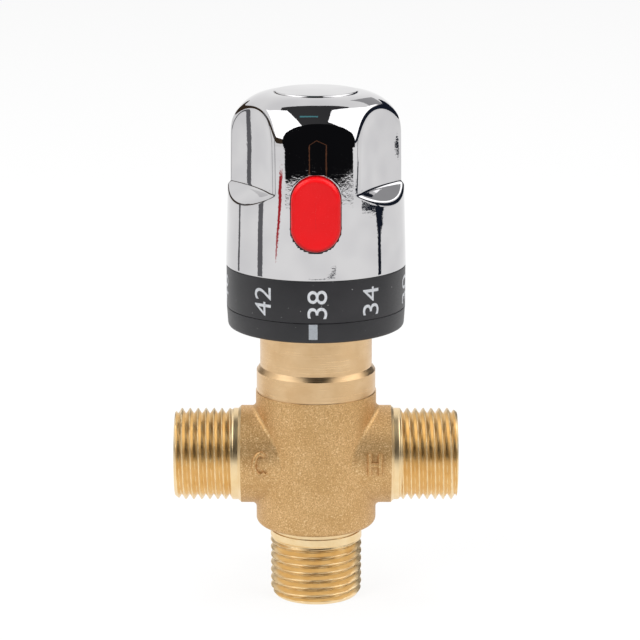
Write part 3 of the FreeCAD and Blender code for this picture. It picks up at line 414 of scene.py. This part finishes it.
def make_finishes():
    """Each of the record's slots, and the finishes that only this script uses."""
    return {
        "body_brass": cast_brass(),
        "turned_brass": turned_brass(),
        "thread_brass": thread_brass(),
        "cartridge_brass": machined_brass("cartridge_brass"),
        "knob_chrome": chrome("knob_chrome"),
        "cap_chrome": chrome("cap_chrome"),
        "ring_black": black_plastic("ring_black", srgb(30, 30, 33), srgb(40, 39, 42)),
        "inner_plastic": black_plastic("inner_plastic", srgb(46, 46, 48), srgb(58, 58, 60), speck=False),
        "button_red": red_plastic(),
        "seal_rubber": seal_rubber(),
        "spring_steel": drawn_metal("spring_steel", srgb(168, 168, 166), srgb(196, 196, 194)),
        "sensor_copper": drawn_metal("sensor_copper", srgb(184, 112, 80), srgb(205, 134, 98)),
        "numeral_print": print_ink("numeral_print", srgb(196, 199, 204), srgb(222, 224, 228)),
        "index_print": print_ink("index_print", srgb(160, 165, 171), srgb(178, 183, 189)),
    }


def dress_frame(frame, finishes):
    """Give every CAD node its slot's finish."""
    for part in frame["record"]["subparts"]:
        node = frame["nodes"][part["node"]]
        node.data.materials.clear()
        node.data.materials.append(finishes[part["material_slot"]])


# ---------------------------------------------------------------- valve body

def port_frames():
    """Each port's tip and inward direction, its sizes, and where round the tip its thread starts."""
    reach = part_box("valve_body")[1].x / MM
    up = Vector((0, 0, 1))
    right = Vector((1, 0, 0))
    return (
        {"tip": Vector((0, 0, 0)), "inward": up, "side": right, "phase": 0.474, **OUTLET},
        {"tip": Vector((-reach, 0, INLET_Z)), "inward": right, "side": up, "phase": 0.865, **INLET},
        {"tip": Vector((reach, 0, INLET_Z)), "inward": -right, "side": up, "phase": 0.145, **INLET},
    )


def port_limit(depth):
    """The plain outside radius of a port at a depth from its tip: chamfer, then crest."""
    return np.minimum(TIP_R + (CREST_R - TIP_R) * depth / TIP_CHAMFER, CREST_R)


def threaded_points(port):
    """The outside of a port with its thread cut in: rows from the tip inward."""
    rows = int(port["length"] / PITCH * ROWS_A_PITCH)
    depth = np.linspace(0, port["length"], rows).reshape(-1, 1)
    turn = np.arange(PORT_STEPS).reshape(1, -1) / PORT_STEPS
    wave = np.cos(2 * math.pi * (depth / PITCH - turn - port["phase"]))
    flank = np.arcsin(THREAD_ROUNDING * wave) / math.asin(THREAD_ROUNDING)
    end = port["length"] - port["bare"]
    cut = np.clip((end - depth) / RUN_OUT, 0, 1) * np.clip(depth / RUN_IN, 0, 1)
    radii = CREST_R - (CREST_R - ROOT_R) * (1 - flank) / 2 * cut
    radii = np.minimum(radii, port_limit(depth))
    side = np.array(port["side"])
    inward = np.array(port["inward"])
    other = np.cross(inward, side)
    angles = 2 * math.pi * turn
    spokes = side * np.cos(angles)[..., None] + other * np.sin(angles)[..., None]
    return np.array(port["tip"]) + depth[..., None] * inward + radii[..., None] * spokes


def on_port_outside(face, ports):
    """Whether a CAD face lies on the plain cylinder or chamfer that a threaded grid takes the place of."""
    for port in ports:
        inward, tip = port["inward"], port["tip"] * MM
        if abs(face.normal.dot(inward)) > 0.9:
            continue
        fits = True
        for vert in face.verts:
            offset = vert.co - tip
            depth = offset.dot(inward) / MM
            radius = (offset - inward * offset.dot(inward)).length / MM
            on_it = -0.01 <= depth <= port["length"] + 0.01 and abs(radius - port_limit(depth)) < 0.02
            fits = fits and on_it
        if fits:
            return True
    return False


def body_finish(middle, ports):
    """Which finish a face of the body has: 0 as cast, 1 turned about z, 2 machined like the threads."""
    if middle.z > CAST_TOP - 0.01:
        return 1
    for port in ports:
        if (middle - port["tip"]).dot(port["inward"]) < port["length"] + port["machined"]:
            return 2
    return 0


def make_body(frame, finishes):
    """The cast and turned body: CAD surfaces, with true threads in place of the three plain spigots."""
    ports = port_frames()
    mesh = bpy.data.meshes.new("body_shell")
    shell = bmesh.new()
    shell.from_mesh(frame["nodes"]["valve_body"].data)
    bmesh.ops.remove_doubles(shell, verts=shell.verts, dist=0.002 * MM)
    shell.normal_update()
    plain = [face for face in shell.faces if on_port_outside(face, ports)]
    bmesh.ops.delete(shell, geom=plain, context="FACES")
    for face in shell.faces:
        face.material_index = body_finish(face.calc_center_median() / MM, ports)
    shell.to_mesh(mesh)
    shell.free()
    mesh.attributes.remove(mesh.attributes["custom_normal"])
    smooth(mesh, sharp=28)
    for name in ("body_brass", "turned_brass", "thread_brass"):
        mesh.materials.append(finishes[name])
    add_piece("body_shell", mesh, None, "valve", ["valve_body"])
    for name, port in zip(("outlet_thread", "cold_thread", "hot_thread"), ports):
        threads = grid_mesh(name, threaded_points(port), sharp=60)
        add_piece(name, threads, finishes["thread_brass"], "valve")


def laid_on(casting, points):
    """Points of a mark, as x and height, laid on the casting's front and lifted a little."""
    spots = []
    for x, z in points:
        spot, normal, _, _ = casting.ray_cast(Vector((x, -40, z)) * MM, Vector((0, 1, 0)))
        spots.append(spot + normal * MARK_LIFT * MM)
    return spots


def raised_mark(name, casting, strokes, finish):
    """A cast mark of round beads, one along each stroke."""
    curve = bpy.data.curves.new(name, "CURVE")
    curve.dimensions = "3D"
    curve.bevel_depth = BEAD_R * MM
    curve.bevel_resolution = 4
    curve.use_fill_caps = True
    for stroke in strokes:
        path = laid_on(casting, stroke)
        spline = curve.splines.new("POLY")
        spline.points.add(len(path) - 1)
        for point, spot in zip(spline.points, path):
            point.co = (*spot, 1)
    add_piece(name, smooth(mesh_of(curve), sharp=60), finish, "valve")


def make_marks(frame, finish):
    """The plain C and H that tell the cold inlet from the hot one."""
    body = frame["nodes"]["valve_body"].data
    casting = BVHTree.FromPolygons(
        [vert.co for vert in body.vertices], [face.vertices for face in body.polygons])
    sweep = [math.radians(angle) for angle in range(48, 313, 8)]
    bow = [(COLD_MARK_X + MARK_HALF_WIDTH * math.cos(angle), MARK_Z + MARK_HALF_HEIGHT * math.sin(angle))
           for angle in sweep]
    raised_mark("cold_mark", casting, [bow], finish)
    rise = np.linspace(-MARK_HALF_HEIGHT, MARK_HALF_HEIGHT, 12)
    bars = [[(HOT_MARK_X + side * HOT_MARK_HALF_WIDTH, MARK_Z + step) for step in rise] for side in (-1, 1)]
    cross = [(HOT_MARK_X + share * HOT_MARK_HALF_WIDTH, MARK_Z) for share in np.linspace(-1, 1, 5)]
    raised_mark("hot_mark", casting, bars + [cross], finish)


# ---------------------------------------------------------------- rings

def index_levels():
    """Low and top levels of the index ring, from the CAD."""
    low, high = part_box("index_ring")
    return low.z / MM, high.z / MM


def make_rings(finish):
    """The fixed index ring and the dial ring, which ends just under the knob."""
    index_low, index_top = index_levels()
    add_piece("index_ring_skin", ring_mesh("index_ring_skin", [
        (INDEX_HOLE_R, index_low, 0), (INDEX_LOW_R, index_low, 0.75), (RING_R, index_top, 0.16),
        (RING_SEAT_R, index_top, 0)]), finish, "valve", ["index_ring"])
    dial_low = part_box("dial_ring")[0].z / MM
    dial_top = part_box("knob_shell")[0].z / MM - UNDER_KNOB
    add_piece("dial_ring_skin", ring_mesh("dial_ring_skin", [
        (RING_SEAT_R, dial_low, 0), (RING_R, dial_low, 0.14), (RING_R, dial_top, 0.22),
        (DIAL_TOP_R, dial_top, 0)]), finish, "knob", ["dial_ring"])


def wrapped(mesh, azimuth, radius):
    """Bend a flat print round the ring: its x runs along the circumference and its y up."""
    for vertex in mesh.vertices:
        angle = math.radians(azimuth) + vertex.co.x / (radius * MM)
        vertex.co = Vector((
            radius * MM * math.sin(angle), -radius * MM * math.cos(angle), vertex.co.y))


def sliced(mesh, step):
    """Cut a flat mesh into upright strips, so that it can bend."""
    flat = bmesh.new()
    flat.from_mesh(mesh)
    low = min(vert.co.x for vert in flat.verts)
    high = max(vert.co.x for vert in flat.verts)
    for place in np.arange(low + step, high, step):
        everything = flat.verts[:] + flat.edges[:] + flat.faces[:]
        bmesh.ops.bisect_plane(flat, geom=everything, plane_co=(place, 0, 0), plane_no=(1, 0, 0))
    flat.to_mesh(mesh)
    flat.free()


def make_numeral(number, azimuth, finish):
    """A number printed on the dial ring, reading upward."""
    text = bpy.data.curves.new(f"numeral_{number}", "FONT")
    text.body = str(number)
    text.size = NUMERAL_HEIGHT * MM * 1.4
    text.resolution_u = 10
    mesh = mesh_of(text)
    points = np.array([vertex.co for vertex in mesh.vertices])
    low, high = points.min(0), points.max(0)
    middle, span = (low + high) / 2, high - low
    for vertex in mesh.vertices:
        along = (vertex.co.x - middle[0]) / span[0] * NUMERAL_LENGTH
        across = (vertex.co.y - middle[1]) / span[1] * NUMERAL_HEIGHT
        vertex.co = Vector((-across * MM, (NUMERAL_Z + along) * MM, 0))
    sliced(mesh, NUMERAL_STRIP * MM)
    wrapped(mesh, azimuth, RING_R + PRINT_LIFT)
    add_piece(mesh.name, mesh, finish, "knob")


def make_index_mark(finish):
    """The printed bar on the fixed ring that the numbers are read against."""
    index_low, index_top = index_levels()
    width = INDEX_STEPS + 1
    columns = np.linspace(-INDEX_WIDTH / 2, INDEX_WIDTH / 2, width)
    rows = np.linspace(index_low + BARE_BELOW_INDEX, index_top - BARE_ABOVE_INDEX, width)
    spots = []
    for z in rows:
        lean = (z - index_low) / (index_top - index_low)
        radius = INDEX_LOW_R + (RING_R - INDEX_LOW_R) * lean + PRINT_LIFT
        for x in columns:
            angle = math.radians(INDEX_AZIMUTH) + x / radius
            spots.append((radius * math.sin(angle) * MM, -radius * math.cos(angle) * MM, z * MM))
    mesh = bpy.data.meshes.new("index_mark")
    mesh.from_pydata(spots, [], patch_quads(width, width))
    add_piece("index_mark", smooth(mesh), finish, "valve")


# ---------------------------------------------------------------- knob

def scoop_radius(azimuths, heights, ledge):
    """How far out the knob reaches in its scoops: rows of heights x columns of azimuths."""
    inset = soft_min((heights - ledge) / LEDGE_SLOPE, np.zeros_like(heights), LEDGE_ROUNDING)
    wall = SCOOP_R + inset
    reach = np.full(np.broadcast(azimuths, heights).shape, NO_SCOOP)
    for place in SCOOP_AZIMUTHS:
        swing = np.radians(azimuths - place)
        swing = np.arctan2(np.sin(swing), np.cos(swing))
        inside = wall ** 2 - (SCOOP_AXIS * np.sin(swing)) ** 2
        hit = (inside > 0) & (np.cos(swing) > 0) & (wall > 0)
        cut = SCOOP_AXIS * np.cos(swing) - np.sqrt(np.where(hit, inside, 0))
        reach = soft_min(reach, np.where(hit, cut, NO_SCOOP), SCOOP_BLEND)
    return reach


def knob_profile(low, top):
    """Rows up the knob's outside, denser round the ledge: foot, side, crown and the seat of the cap."""
    side_top = top - CROWN_R
    lean = (KNOB_LOW_R - KNOB_HIGH_R) / (side_top - low)
    ledge = low + LEDGE_ABOVE_DIAL
    dense_low, dense_high = ledge - 4.2, ledge + 0.9
    heights = np.concatenate([
        np.linspace(low + 0.35, dense_low, 34, endpoint=False),
        np.linspace(dense_low, dense_high, 36, endpoint=False),
        np.linspace(dense_high, side_top, 38, endpoint=False)])
    radii = KNOB_LOW_R - (heights - low) * lean
    start = math.atan(lean)
    arc = np.linspace(start, math.pi / 2, 78)
    foot_r = [KNOB_LOW_R - 1.2, KNOB_LOW_R - 0.3, KNOB_LOW_R - 0.1, KNOB_LOW_R - 0.01]
    foot_z = [low + 0.01, low + 0.01, low + 0.08, low + 0.2]
    lip_r = [CAP_R + 0.1, CAP_R + 0.04, CAP_R + 0.02]
    lip_z = [top - CROWN_DROP, top - CROWN_DROP - 0.06, top - CROWN_DROP - 1.0]
    crown_r = KNOB_HIGH_R - CROWN_R * (math.cos(start) - np.cos(arc))
    rise = (np.sin(arc) - math.sin(start)) / (1 - math.sin(start))
    crown_z = side_top + (CROWN_R - CROWN_DROP) * rise
    on_crown = crown_r > CAP_R + 0.12
    radii = np.concatenate([foot_r, radii, crown_r[on_crown], lip_r])
    heights = np.concatenate([foot_z, heights, crown_z[on_crown], lip_z])
    return radii, heights, ledge


def oblong_offset(x, z, centre_z, half):
    """Distance outside an upright oblong of half-width half, negative inside it."""
    up = np.maximum(np.abs(z - centre_z) - BUTTON_STRAIGHT, 0)
    return np.hypot(x, up) - half


def onto_oblong(x, z, centre_z, half):
    """The nearest point of the oblong's outline."""
    core = centre_z + max(-BUTTON_STRAIGHT, min(BUTTON_STRAIGHT, z - centre_z))
    away = math.hypot(x, z - core) or 1.0
    return x / away * half, core + (z - core) / away * half


def button_centre():
    """The height of the button's middle, from the CAD."""
    low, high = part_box("safety_button")
    return (low.z + high.z) / 2 / MM


def open_button_hole(mesh, centre_z):
    """Cut the button's opening in the shell, with a rounded rim and a wall going in."""
    shell = bmesh.new()
    shell.from_mesh(mesh)
    half = BUTTON_HALF + BUTTON_GAP
    inside = []
    for face in shell.faces:
        spot = face.calc_center_median() / MM
        if spot.y < 0 and oblong_offset(spot.x, spot.z, centre_z, half) < 0:
            inside.append(face)
    bmesh.ops.delete(shell, geom=inside, context="FACES")
    rim = [
        edge for edge in shell.edges if edge.is_boundary and edge.verts[0].co.y < 0 and oblong_offset(
            edge.verts[0].co.x / MM, edge.verts[0].co.z / MM, centre_z, half) < 1.0]
    for vert in {vert for edge in rim for vert in edge.verts}:
        x, z = onto_oblong(vert.co.x / MM, vert.co.z / MM, centre_z, half + HOLE_RIM)
        radius = math.hypot(vert.co.x, vert.co.y)
        vert.co = Vector((x * MM, -math.sqrt(radius ** 2 - (x * MM) ** 2), z * MM))
    for shrink, sink in HOLE_STEPS:
        grown = bmesh.ops.extrude_edge_only(shell, edges=rim)["geom"]
        rim = [item for item in grown if isinstance(item, bmesh.types.BMEdge)]
        for vert in {vert for edge in rim for vert in edge.verts}:
            reach = oblong_offset(vert.co.x / MM, vert.co.z / MM, centre_z, 0) - shrink
            x, z = onto_oblong(vert.co.x / MM, vert.co.z / MM, centre_z, float(reach))
            vert.co = Vector((x * MM, vert.co.y + sink * MM, z * MM))
    bmesh.ops.recalc_face_normals(shell, faces=shell.faces)
    shell.to_mesh(mesh)
    shell.free()


def make_knob(finishes):
    """The chromed shell with its scoops and the button's opening, and the cap on top."""
    low, top = (corner.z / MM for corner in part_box("knob_shell"))
    radii, heights, ledge = knob_profile(low, top)
    azimuths = (np.arange(KNOB_COLUMNS) * 360 / KNOB_COLUMNS).reshape(1, -1)
    rows = heights.reshape(-1, 1)
    reach = scoop_radius(azimuths, rows, ledge)
    shaped = soft_min(radii.reshape(-1, 1), reach, SCOOP_ROUNDING)
    angles = np.radians(azimuths)
    points = np.stack(np.broadcast_arrays(shaped * np.sin(angles), -shaped * np.cos(angles), rows), axis=-1)
    mesh = grid_mesh("knob_skin", points)
    open_button_hole(mesh, button_centre())
    smooth(mesh, sharp=50)
    add_piece("knob_skin", mesh, finishes["knob_chrome"], "knob", ["knob_shell"])

    rim_z = top - CAP_RIM_DROP
    inner_r = CAP_R - CAP_EDGE - 0.1
    edge = softened([(CAP_R, rim_z - CAP_SKIRT, 0), (CAP_R, rim_z, CAP_EDGE), (inner_r, rim_z, 0)], steps=9)
    dome_r = np.linspace(inner_r, 0.02, 30)
    dome = np.stack([dome_r, rim_z + CAP_DOME * (1 - (dome_r / inner_r) ** 2)], axis=-1)
    cap = grid_mesh("cap_skin", around_z(np.concatenate([edge[:-1], dome]), CAP_COLUMNS), sharp=50)
    add_piece("cap_skin", cap, finishes["cap_chrome"], "knob", ["knob_cap"])


def make_button(finish):
    """The red button: an oblong with a rounded edge and a face dished by a hair."""
    centre_z = button_centre()
    face_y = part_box("safety_button")[0].y / MM
    turn = np.linspace(0, 2 * math.pi, 180, endpoint=False)
    spokes = np.stack([np.cos(turn), np.sin(turn)], axis=-1)
    core = np.where(np.sin(turn) >= 0, BUTTON_STRAIGHT, -BUTTON_STRAIGHT)
    rows = [(BUTTON_HALF, face_y + BUTTON_DEPTH), (BUTTON_HALF, face_y + BUTTON_DEPTH / 2)]
    for angle in np.linspace(0, math.pi / 2, 9):
        rows.append((BUTTON_HALF - BUTTON_EDGE * (1 - math.cos(angle)),
                     face_y + BUTTON_EDGE * (1 - math.sin(angle))))
    rim = BUTTON_HALF - BUTTON_EDGE
    for share in np.linspace(0.94, 0.001, 14):
        rows.append((rim * share, face_y + BUTTON_DISH * (1 - share ** 2)))
    points = np.array([
        [(radius * x, y, centre_z + radius * z + lift) for (x, z), lift in zip(spokes, core)]
        for radius, y in rows])
    add_piece("button_skin", grid_mesh("button_skin", points, sharp=50), finish, "button",
              ["safety_button"])


# ---------------------------------------------------------------- studio

def toward(azimuth, elevation):
    """A direction from the object: azimuth 0 is the camera's side, and grows to the object's right."""
    a, e = math.radians(azimuth), math.radians(elevation)
    return Vector((math.sin(a) * math.cos(e), -math.cos(a) * math.cos(e), math.sin(e)))


def glow(name, colour, strength=1.0):
    """A material that only shines, the same in every direction."""
    material = bpy.data.materials.new(name)
    material.use_nodes = True
    nodes = material.node_tree.nodes
    nodes.clear()
    emission = nodes.new("ShaderNodeEmission")
    emission.inputs["Color"].default_value = (*colour, 1)
    emission.inputs["Strength"].default_value = strength
    output = nodes.new("ShaderNodeOutputMaterial")
    material.node_tree.links.new(emission.outputs["Emission"], output.inputs["Surface"])
    return material


def reflection_card(name, rows, reach, material):
    """A card as a patch of a sphere, through rows of (azimuth, elevation)."""
    steps = 10
    spots = []
    for row in rows:
        directions = [toward(*spot) for spot in row]
        fine = []
        for first, second in zip(directions, directions[1:]):
            fine += [first.lerp(second, share / steps) for share in range(steps)]
        spots.append(fine + [directions[-1]])
    lines = []
    for first, second in zip(spots, spots[1:]):
        lines += [[a.lerp(b, share / steps) for a, b in zip(first, second)] for share in range(steps)]
    lines.append(spots[-1])
    verts = [MIDDLE + spot.normalized() * reach for line in lines for spot in line]
    only_reflected(name, verts, patch_quads(len(lines), len(lines[0])), material)


def only_reflected(name, verts, faces, material):
    """Put a card in the scene for reflections alone."""
    mesh = bpy.data.meshes.new(name)
    mesh.from_pydata(verts, [], faces)
    mesh.materials.append(material)
    card = bpy.data.objects.new(name, mesh)
    bpy.context.scene.collection.objects.link(card)
    card.visible_camera = False
    card.visible_diffuse = False
    card.visible_shadow = False


def disc_rows(azimuth, elevation, spread):
    """Rows of a round card about one direction, from its middle to its rim."""
    centre = toward(azimuth, elevation)
    side = centre.cross(Vector((0, 0, 1))).normalized()
    up = side.cross(centre)
    rows = []
    for share in (0.02, 0.5, 1.0):
        angle = math.radians(spread * share)
        ring = []
        for step in range(25):
            turn = 2 * math.pi * step / 24
            spot = centre * math.cos(angle) + (side * math.cos(turn) + up * math.sin(turn)) * math.sin(angle)
            ring.append((math.degrees(math.atan2(spot.x, -spot.y)), math.degrees(math.asin(spot.z))))
        rows.append(ring)
    return rows


def upright(name, azimuth, width, material):
    """A narrow stand on the floor, facing the object."""
    foot = toward(azimuth, 0) * STAND_REACH
    side = Vector((-foot.y, foot.x, 0)).normalized() * width / 2
    rise = Vector((0, 0, STAND_HEIGHT))
    verts = [foot - side, foot + side, foot + side + rise, foot - side + rise]
    only_reflected(name, verts, [(0, 1, 2, 3)], material)


def make_cards():
    """What the bright metal sees: a dark room behind the camera, two soft boxes, walls and a few stands."""
    dark = glow("card_dark", (0.006, 0.006, 0.007))
    dim = glow("card_dim", (0.05, 0.05, 0.052))
    brown = glow("card_brown", (0.05, 0.034, 0.022))
    navy = glow("card_navy", (0.012, 0.016, 0.028))
    grey = glow("card_grey", (0.16, 0.16, 0.17))
    pale = glow("card_pale", (0.4, 0.4, 0.41))
    red = glow("card_red", (0.5, 0.02, 0.03))
    teal = glow("card_teal", (0.1, 0.3, 0.33))
    copper = glow("card_copper", (0.13, 0.055, 0.03))
    white = glow("card_white", (1, 1, 1), 2.0)
    cards = (
        ("room", dark, 1.0, disc_rows(4, 10, 48)),
        ("room_low", dark, 1.05, [[(-41, -40), (54, -40)], [(-41, 8), (54, 8)]]),
        ("ceiling", dim, 1.3, [[(-58, 25), (58, 25)], [(-90, 60), (90, 60)], [(-140, 58), (145, 58)]]),
        ("soft_box_left", white, 1.15, [
            [(-61, 17), (-43, 13), (-22, 48)], [(-125, 42), (-126, 53), (-122, 66)]]),
        ("soft_box_right", white, 1.15, [[(54, 9), (27, 61)], [(140, 27), (134, 75)]]),
        ("wall_left", brown, 1.25, [[(-38, 2), (-80, 4), (-165, 3)], [(-38, 20), (-80, 16), (-165, 13)]]),
        ("wall_right", navy, 1.25, [[(46, 2), (80, 2), (165, 0)], [(46, 20), (80, 22), (165, 17)]]),
        ("wall_far_right", pale, 1.25, [[(136, 20), (168, 20)], [(136, 38), (168, 38)]]),
        ("banner", red, 0.42, [
            [(-52, -9.6), (-51, -9.6)], [(-49.5, -8), (-46, -8)], [(-47, -5), (-42.5, -5)]]),
        ("screen", teal, 0.95, [[(-50, 71), (8, 76)], [(-62, 74), (12, 80)]]),
        ("tripod_left", copper, 0.97, [
            [(-9, -20), (-7.6, -20)], [(-9, 3), (-7.6, 3)], [(1, 15), (1, 13.2)]]),
        ("tripod_right", copper, 0.97, [
            [(12.6, -20), (14, -20)], [(12.6, 3), (14, 3)], [(1, 13.2), (1, 15)]]),
        ("coat", navy, 0.41, [
            [(84, -9), (91, -9)], [(81, -7.9), (97, -7.9)], [(60, -7.1), (104, -7.1)],
            [(60, -6.6), (100, -6.6)]]),
    )
    for name, material, reach, rows in cards:
        reflection_card(name, rows, reach, material)
    upright("stand_left", -74, 0.052, grey)
    upright("stand_far_left", -114, 0.028, grey)
    upright("stand_right", 87, 0.036, navy)
    # A dark patch on the floor in front, seen only in reflections, which darkens the chrome's front.
    dark_patch_corners = ((-0.08, -0.47), (0.22, -0.47), (0.20, -0.452), (-0.06, -0.452))
    only_reflected("floor_dark_patch", [(x, y, 0.0005) for x, y in dark_patch_corners], [(0, 1, 2, 3)], navy)


def seen_share(nodes, links):
    """1 for the rays that show a background: camera, glossy and transmission rays."""
    path = nodes.new("ShaderNodeLightPath")
    share = path.outputs["Is Camera Ray"]
    for kind in ("Is Glossy Ray", "Is Transmission Ray"):
        either = nodes.new("ShaderNodeMath")
        either.operation = "MAXIMUM"
        links.new(share, either.inputs[0])
        links.new(path.outputs[kind], either.inputs[1])
        share = either.outputs[0]
    return share


def make_world():
    """White for the rays that show it, and a softer light on the object."""
    world = bpy.data.worlds.new("studio")
    bpy.context.scene.world = world
    world.use_nodes = True
    nodes, links = world.node_tree.nodes, world.node_tree.links
    nodes.clear()
    mix = nodes.new("ShaderNodeMixShader")
    links.new(seen_share(nodes, links), mix.inputs[0])
    for socket, strength in ((mix.inputs[1], WORLD_LIGHT), (mix.inputs[2], 1.0)):
        background = nodes.new("ShaderNodeBackground")
        background.inputs["Color"].default_value = WHITE
        background.inputs["Strength"].default_value = strength
        links.new(background.outputs[0], socket)
    output = nodes.new("ShaderNodeOutputWorld")
    links.new(mix.outputs[0], output.inputs["Surface"])


def make_floor():
    """A pale floor with a bay cut out in front, where the dark room begins; it keeps the object's shadow."""
    bay, front, far, half = 0.785, -2.7, 4.0, 3.0
    edge = [toward(azimuth, 0) * bay for azimuth in range(49, -40, -4)]
    outline = [(-half, front, 0), (-half, far, 0), (half, far, 0), (half, front, 0)]
    outline += [(point.x, point.y, 0) for point in edge]
    mesh = bpy.data.meshes.new("floor")
    mesh.from_pydata(outline, [], [tuple(range(len(outline)))])
    material = bpy.data.materials.new("floor")
    material.use_nodes = True
    nodes, links = material.node_tree.nodes, material.node_tree.links
    nodes.clear()
    paper = nodes.new("ShaderNodeBsdfDiffuse")
    paper.inputs["Color"].default_value = (0.9, 0.9, 0.9, 1)
    lift = nodes.new("ShaderNodeEmission")
    lift.inputs["Color"].default_value = WHITE
    links.new(seen_share(nodes, links), lift.inputs["Strength"])
    both = nodes.new("ShaderNodeMixShader")
    both.inputs[0].default_value = FLOOR_LIFT
    links.new(paper.outputs[0], both.inputs[1])
    links.new(lift.outputs[0], both.inputs[2])
    output = nodes.new("ShaderNodeOutputMaterial")
    links.new(both.outputs[0], output.inputs["Surface"])
    mesh.materials.append(material)
    floor = bpy.data.objects.new("floor", mesh)
    bpy.context.scene.collection.objects.link(floor)


def area_lamp(name, place, size, power):
    """A soft lamp aimed at the object; the cards stand for it in reflections."""
    light = bpy.data.lights.new(name, "AREA")
    light.shape = "DISK"
    light.size = size
    light.energy = power
    lamp = bpy.data.objects.new(name, light)
    bpy.context.scene.collection.objects.link(lamp)
    lamp.location = place
    lamp.rotation_euler = (MIDDLE - Vector(place)).to_track_quat("-Z", "Y").to_euler()
    lamp.visible_glossy = False
    lamp.visible_camera = False


def make_lamps():
    """Soft light from both sides of the camera and from above."""
    area_lamp("key", (-0.7, -0.75, 0.85), 0.7, 9.0)
    area_lamp("fill", (0.8, -0.6, 0.7), 0.7, 6.5)
    area_lamp("top", (0.0, 0.2, 1.2), 0.9, 6.0)


def make_camera():
    """A long lens, looking down at the object a little."""
    camera = bpy.data.cameras.new("camera")
    camera.sensor_width = 36.0
    camera.lens = CAMERA_LENS
    camera.clip_start = 0.01
    holder = bpy.data.objects.new("camera", camera)
    bpy.context.scene.collection.objects.link(holder)
    holder.location = CAMERA_PLACE
    holder.rotation_euler = (math.radians(90 - CAMERA_TILT), 0, 0)
    bpy.context.scene.camera = holder


# ---------------------------------------------------------------- all of it

def corners(bounds):
    return [list(corner) for corner in bounds]


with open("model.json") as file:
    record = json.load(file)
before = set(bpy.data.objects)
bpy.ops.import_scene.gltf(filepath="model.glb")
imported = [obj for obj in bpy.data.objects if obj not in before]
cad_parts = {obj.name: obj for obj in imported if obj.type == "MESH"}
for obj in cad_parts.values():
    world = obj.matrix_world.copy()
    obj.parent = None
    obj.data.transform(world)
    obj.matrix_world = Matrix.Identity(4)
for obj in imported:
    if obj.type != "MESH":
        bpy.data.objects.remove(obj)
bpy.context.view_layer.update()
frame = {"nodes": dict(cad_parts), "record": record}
finishes = make_finishes()
dress_frame(frame, finishes)
make_body(frame, finishes)
make_marks(frame, finishes["body_brass"])
make_knob(finishes)
make_button(finishes["button_red"])
make_rings(finishes["ring_black"])
for number, azimuth in NUMERALS.items():
    make_numeral(number, azimuth, finishes["numeral_print"])
make_index_mark(finishes["index_print"])
make_cards()
make_world()
make_floor()
make_lamps()
make_camera()
bpy.context.scene.view_settings.view_transform = "Standard"
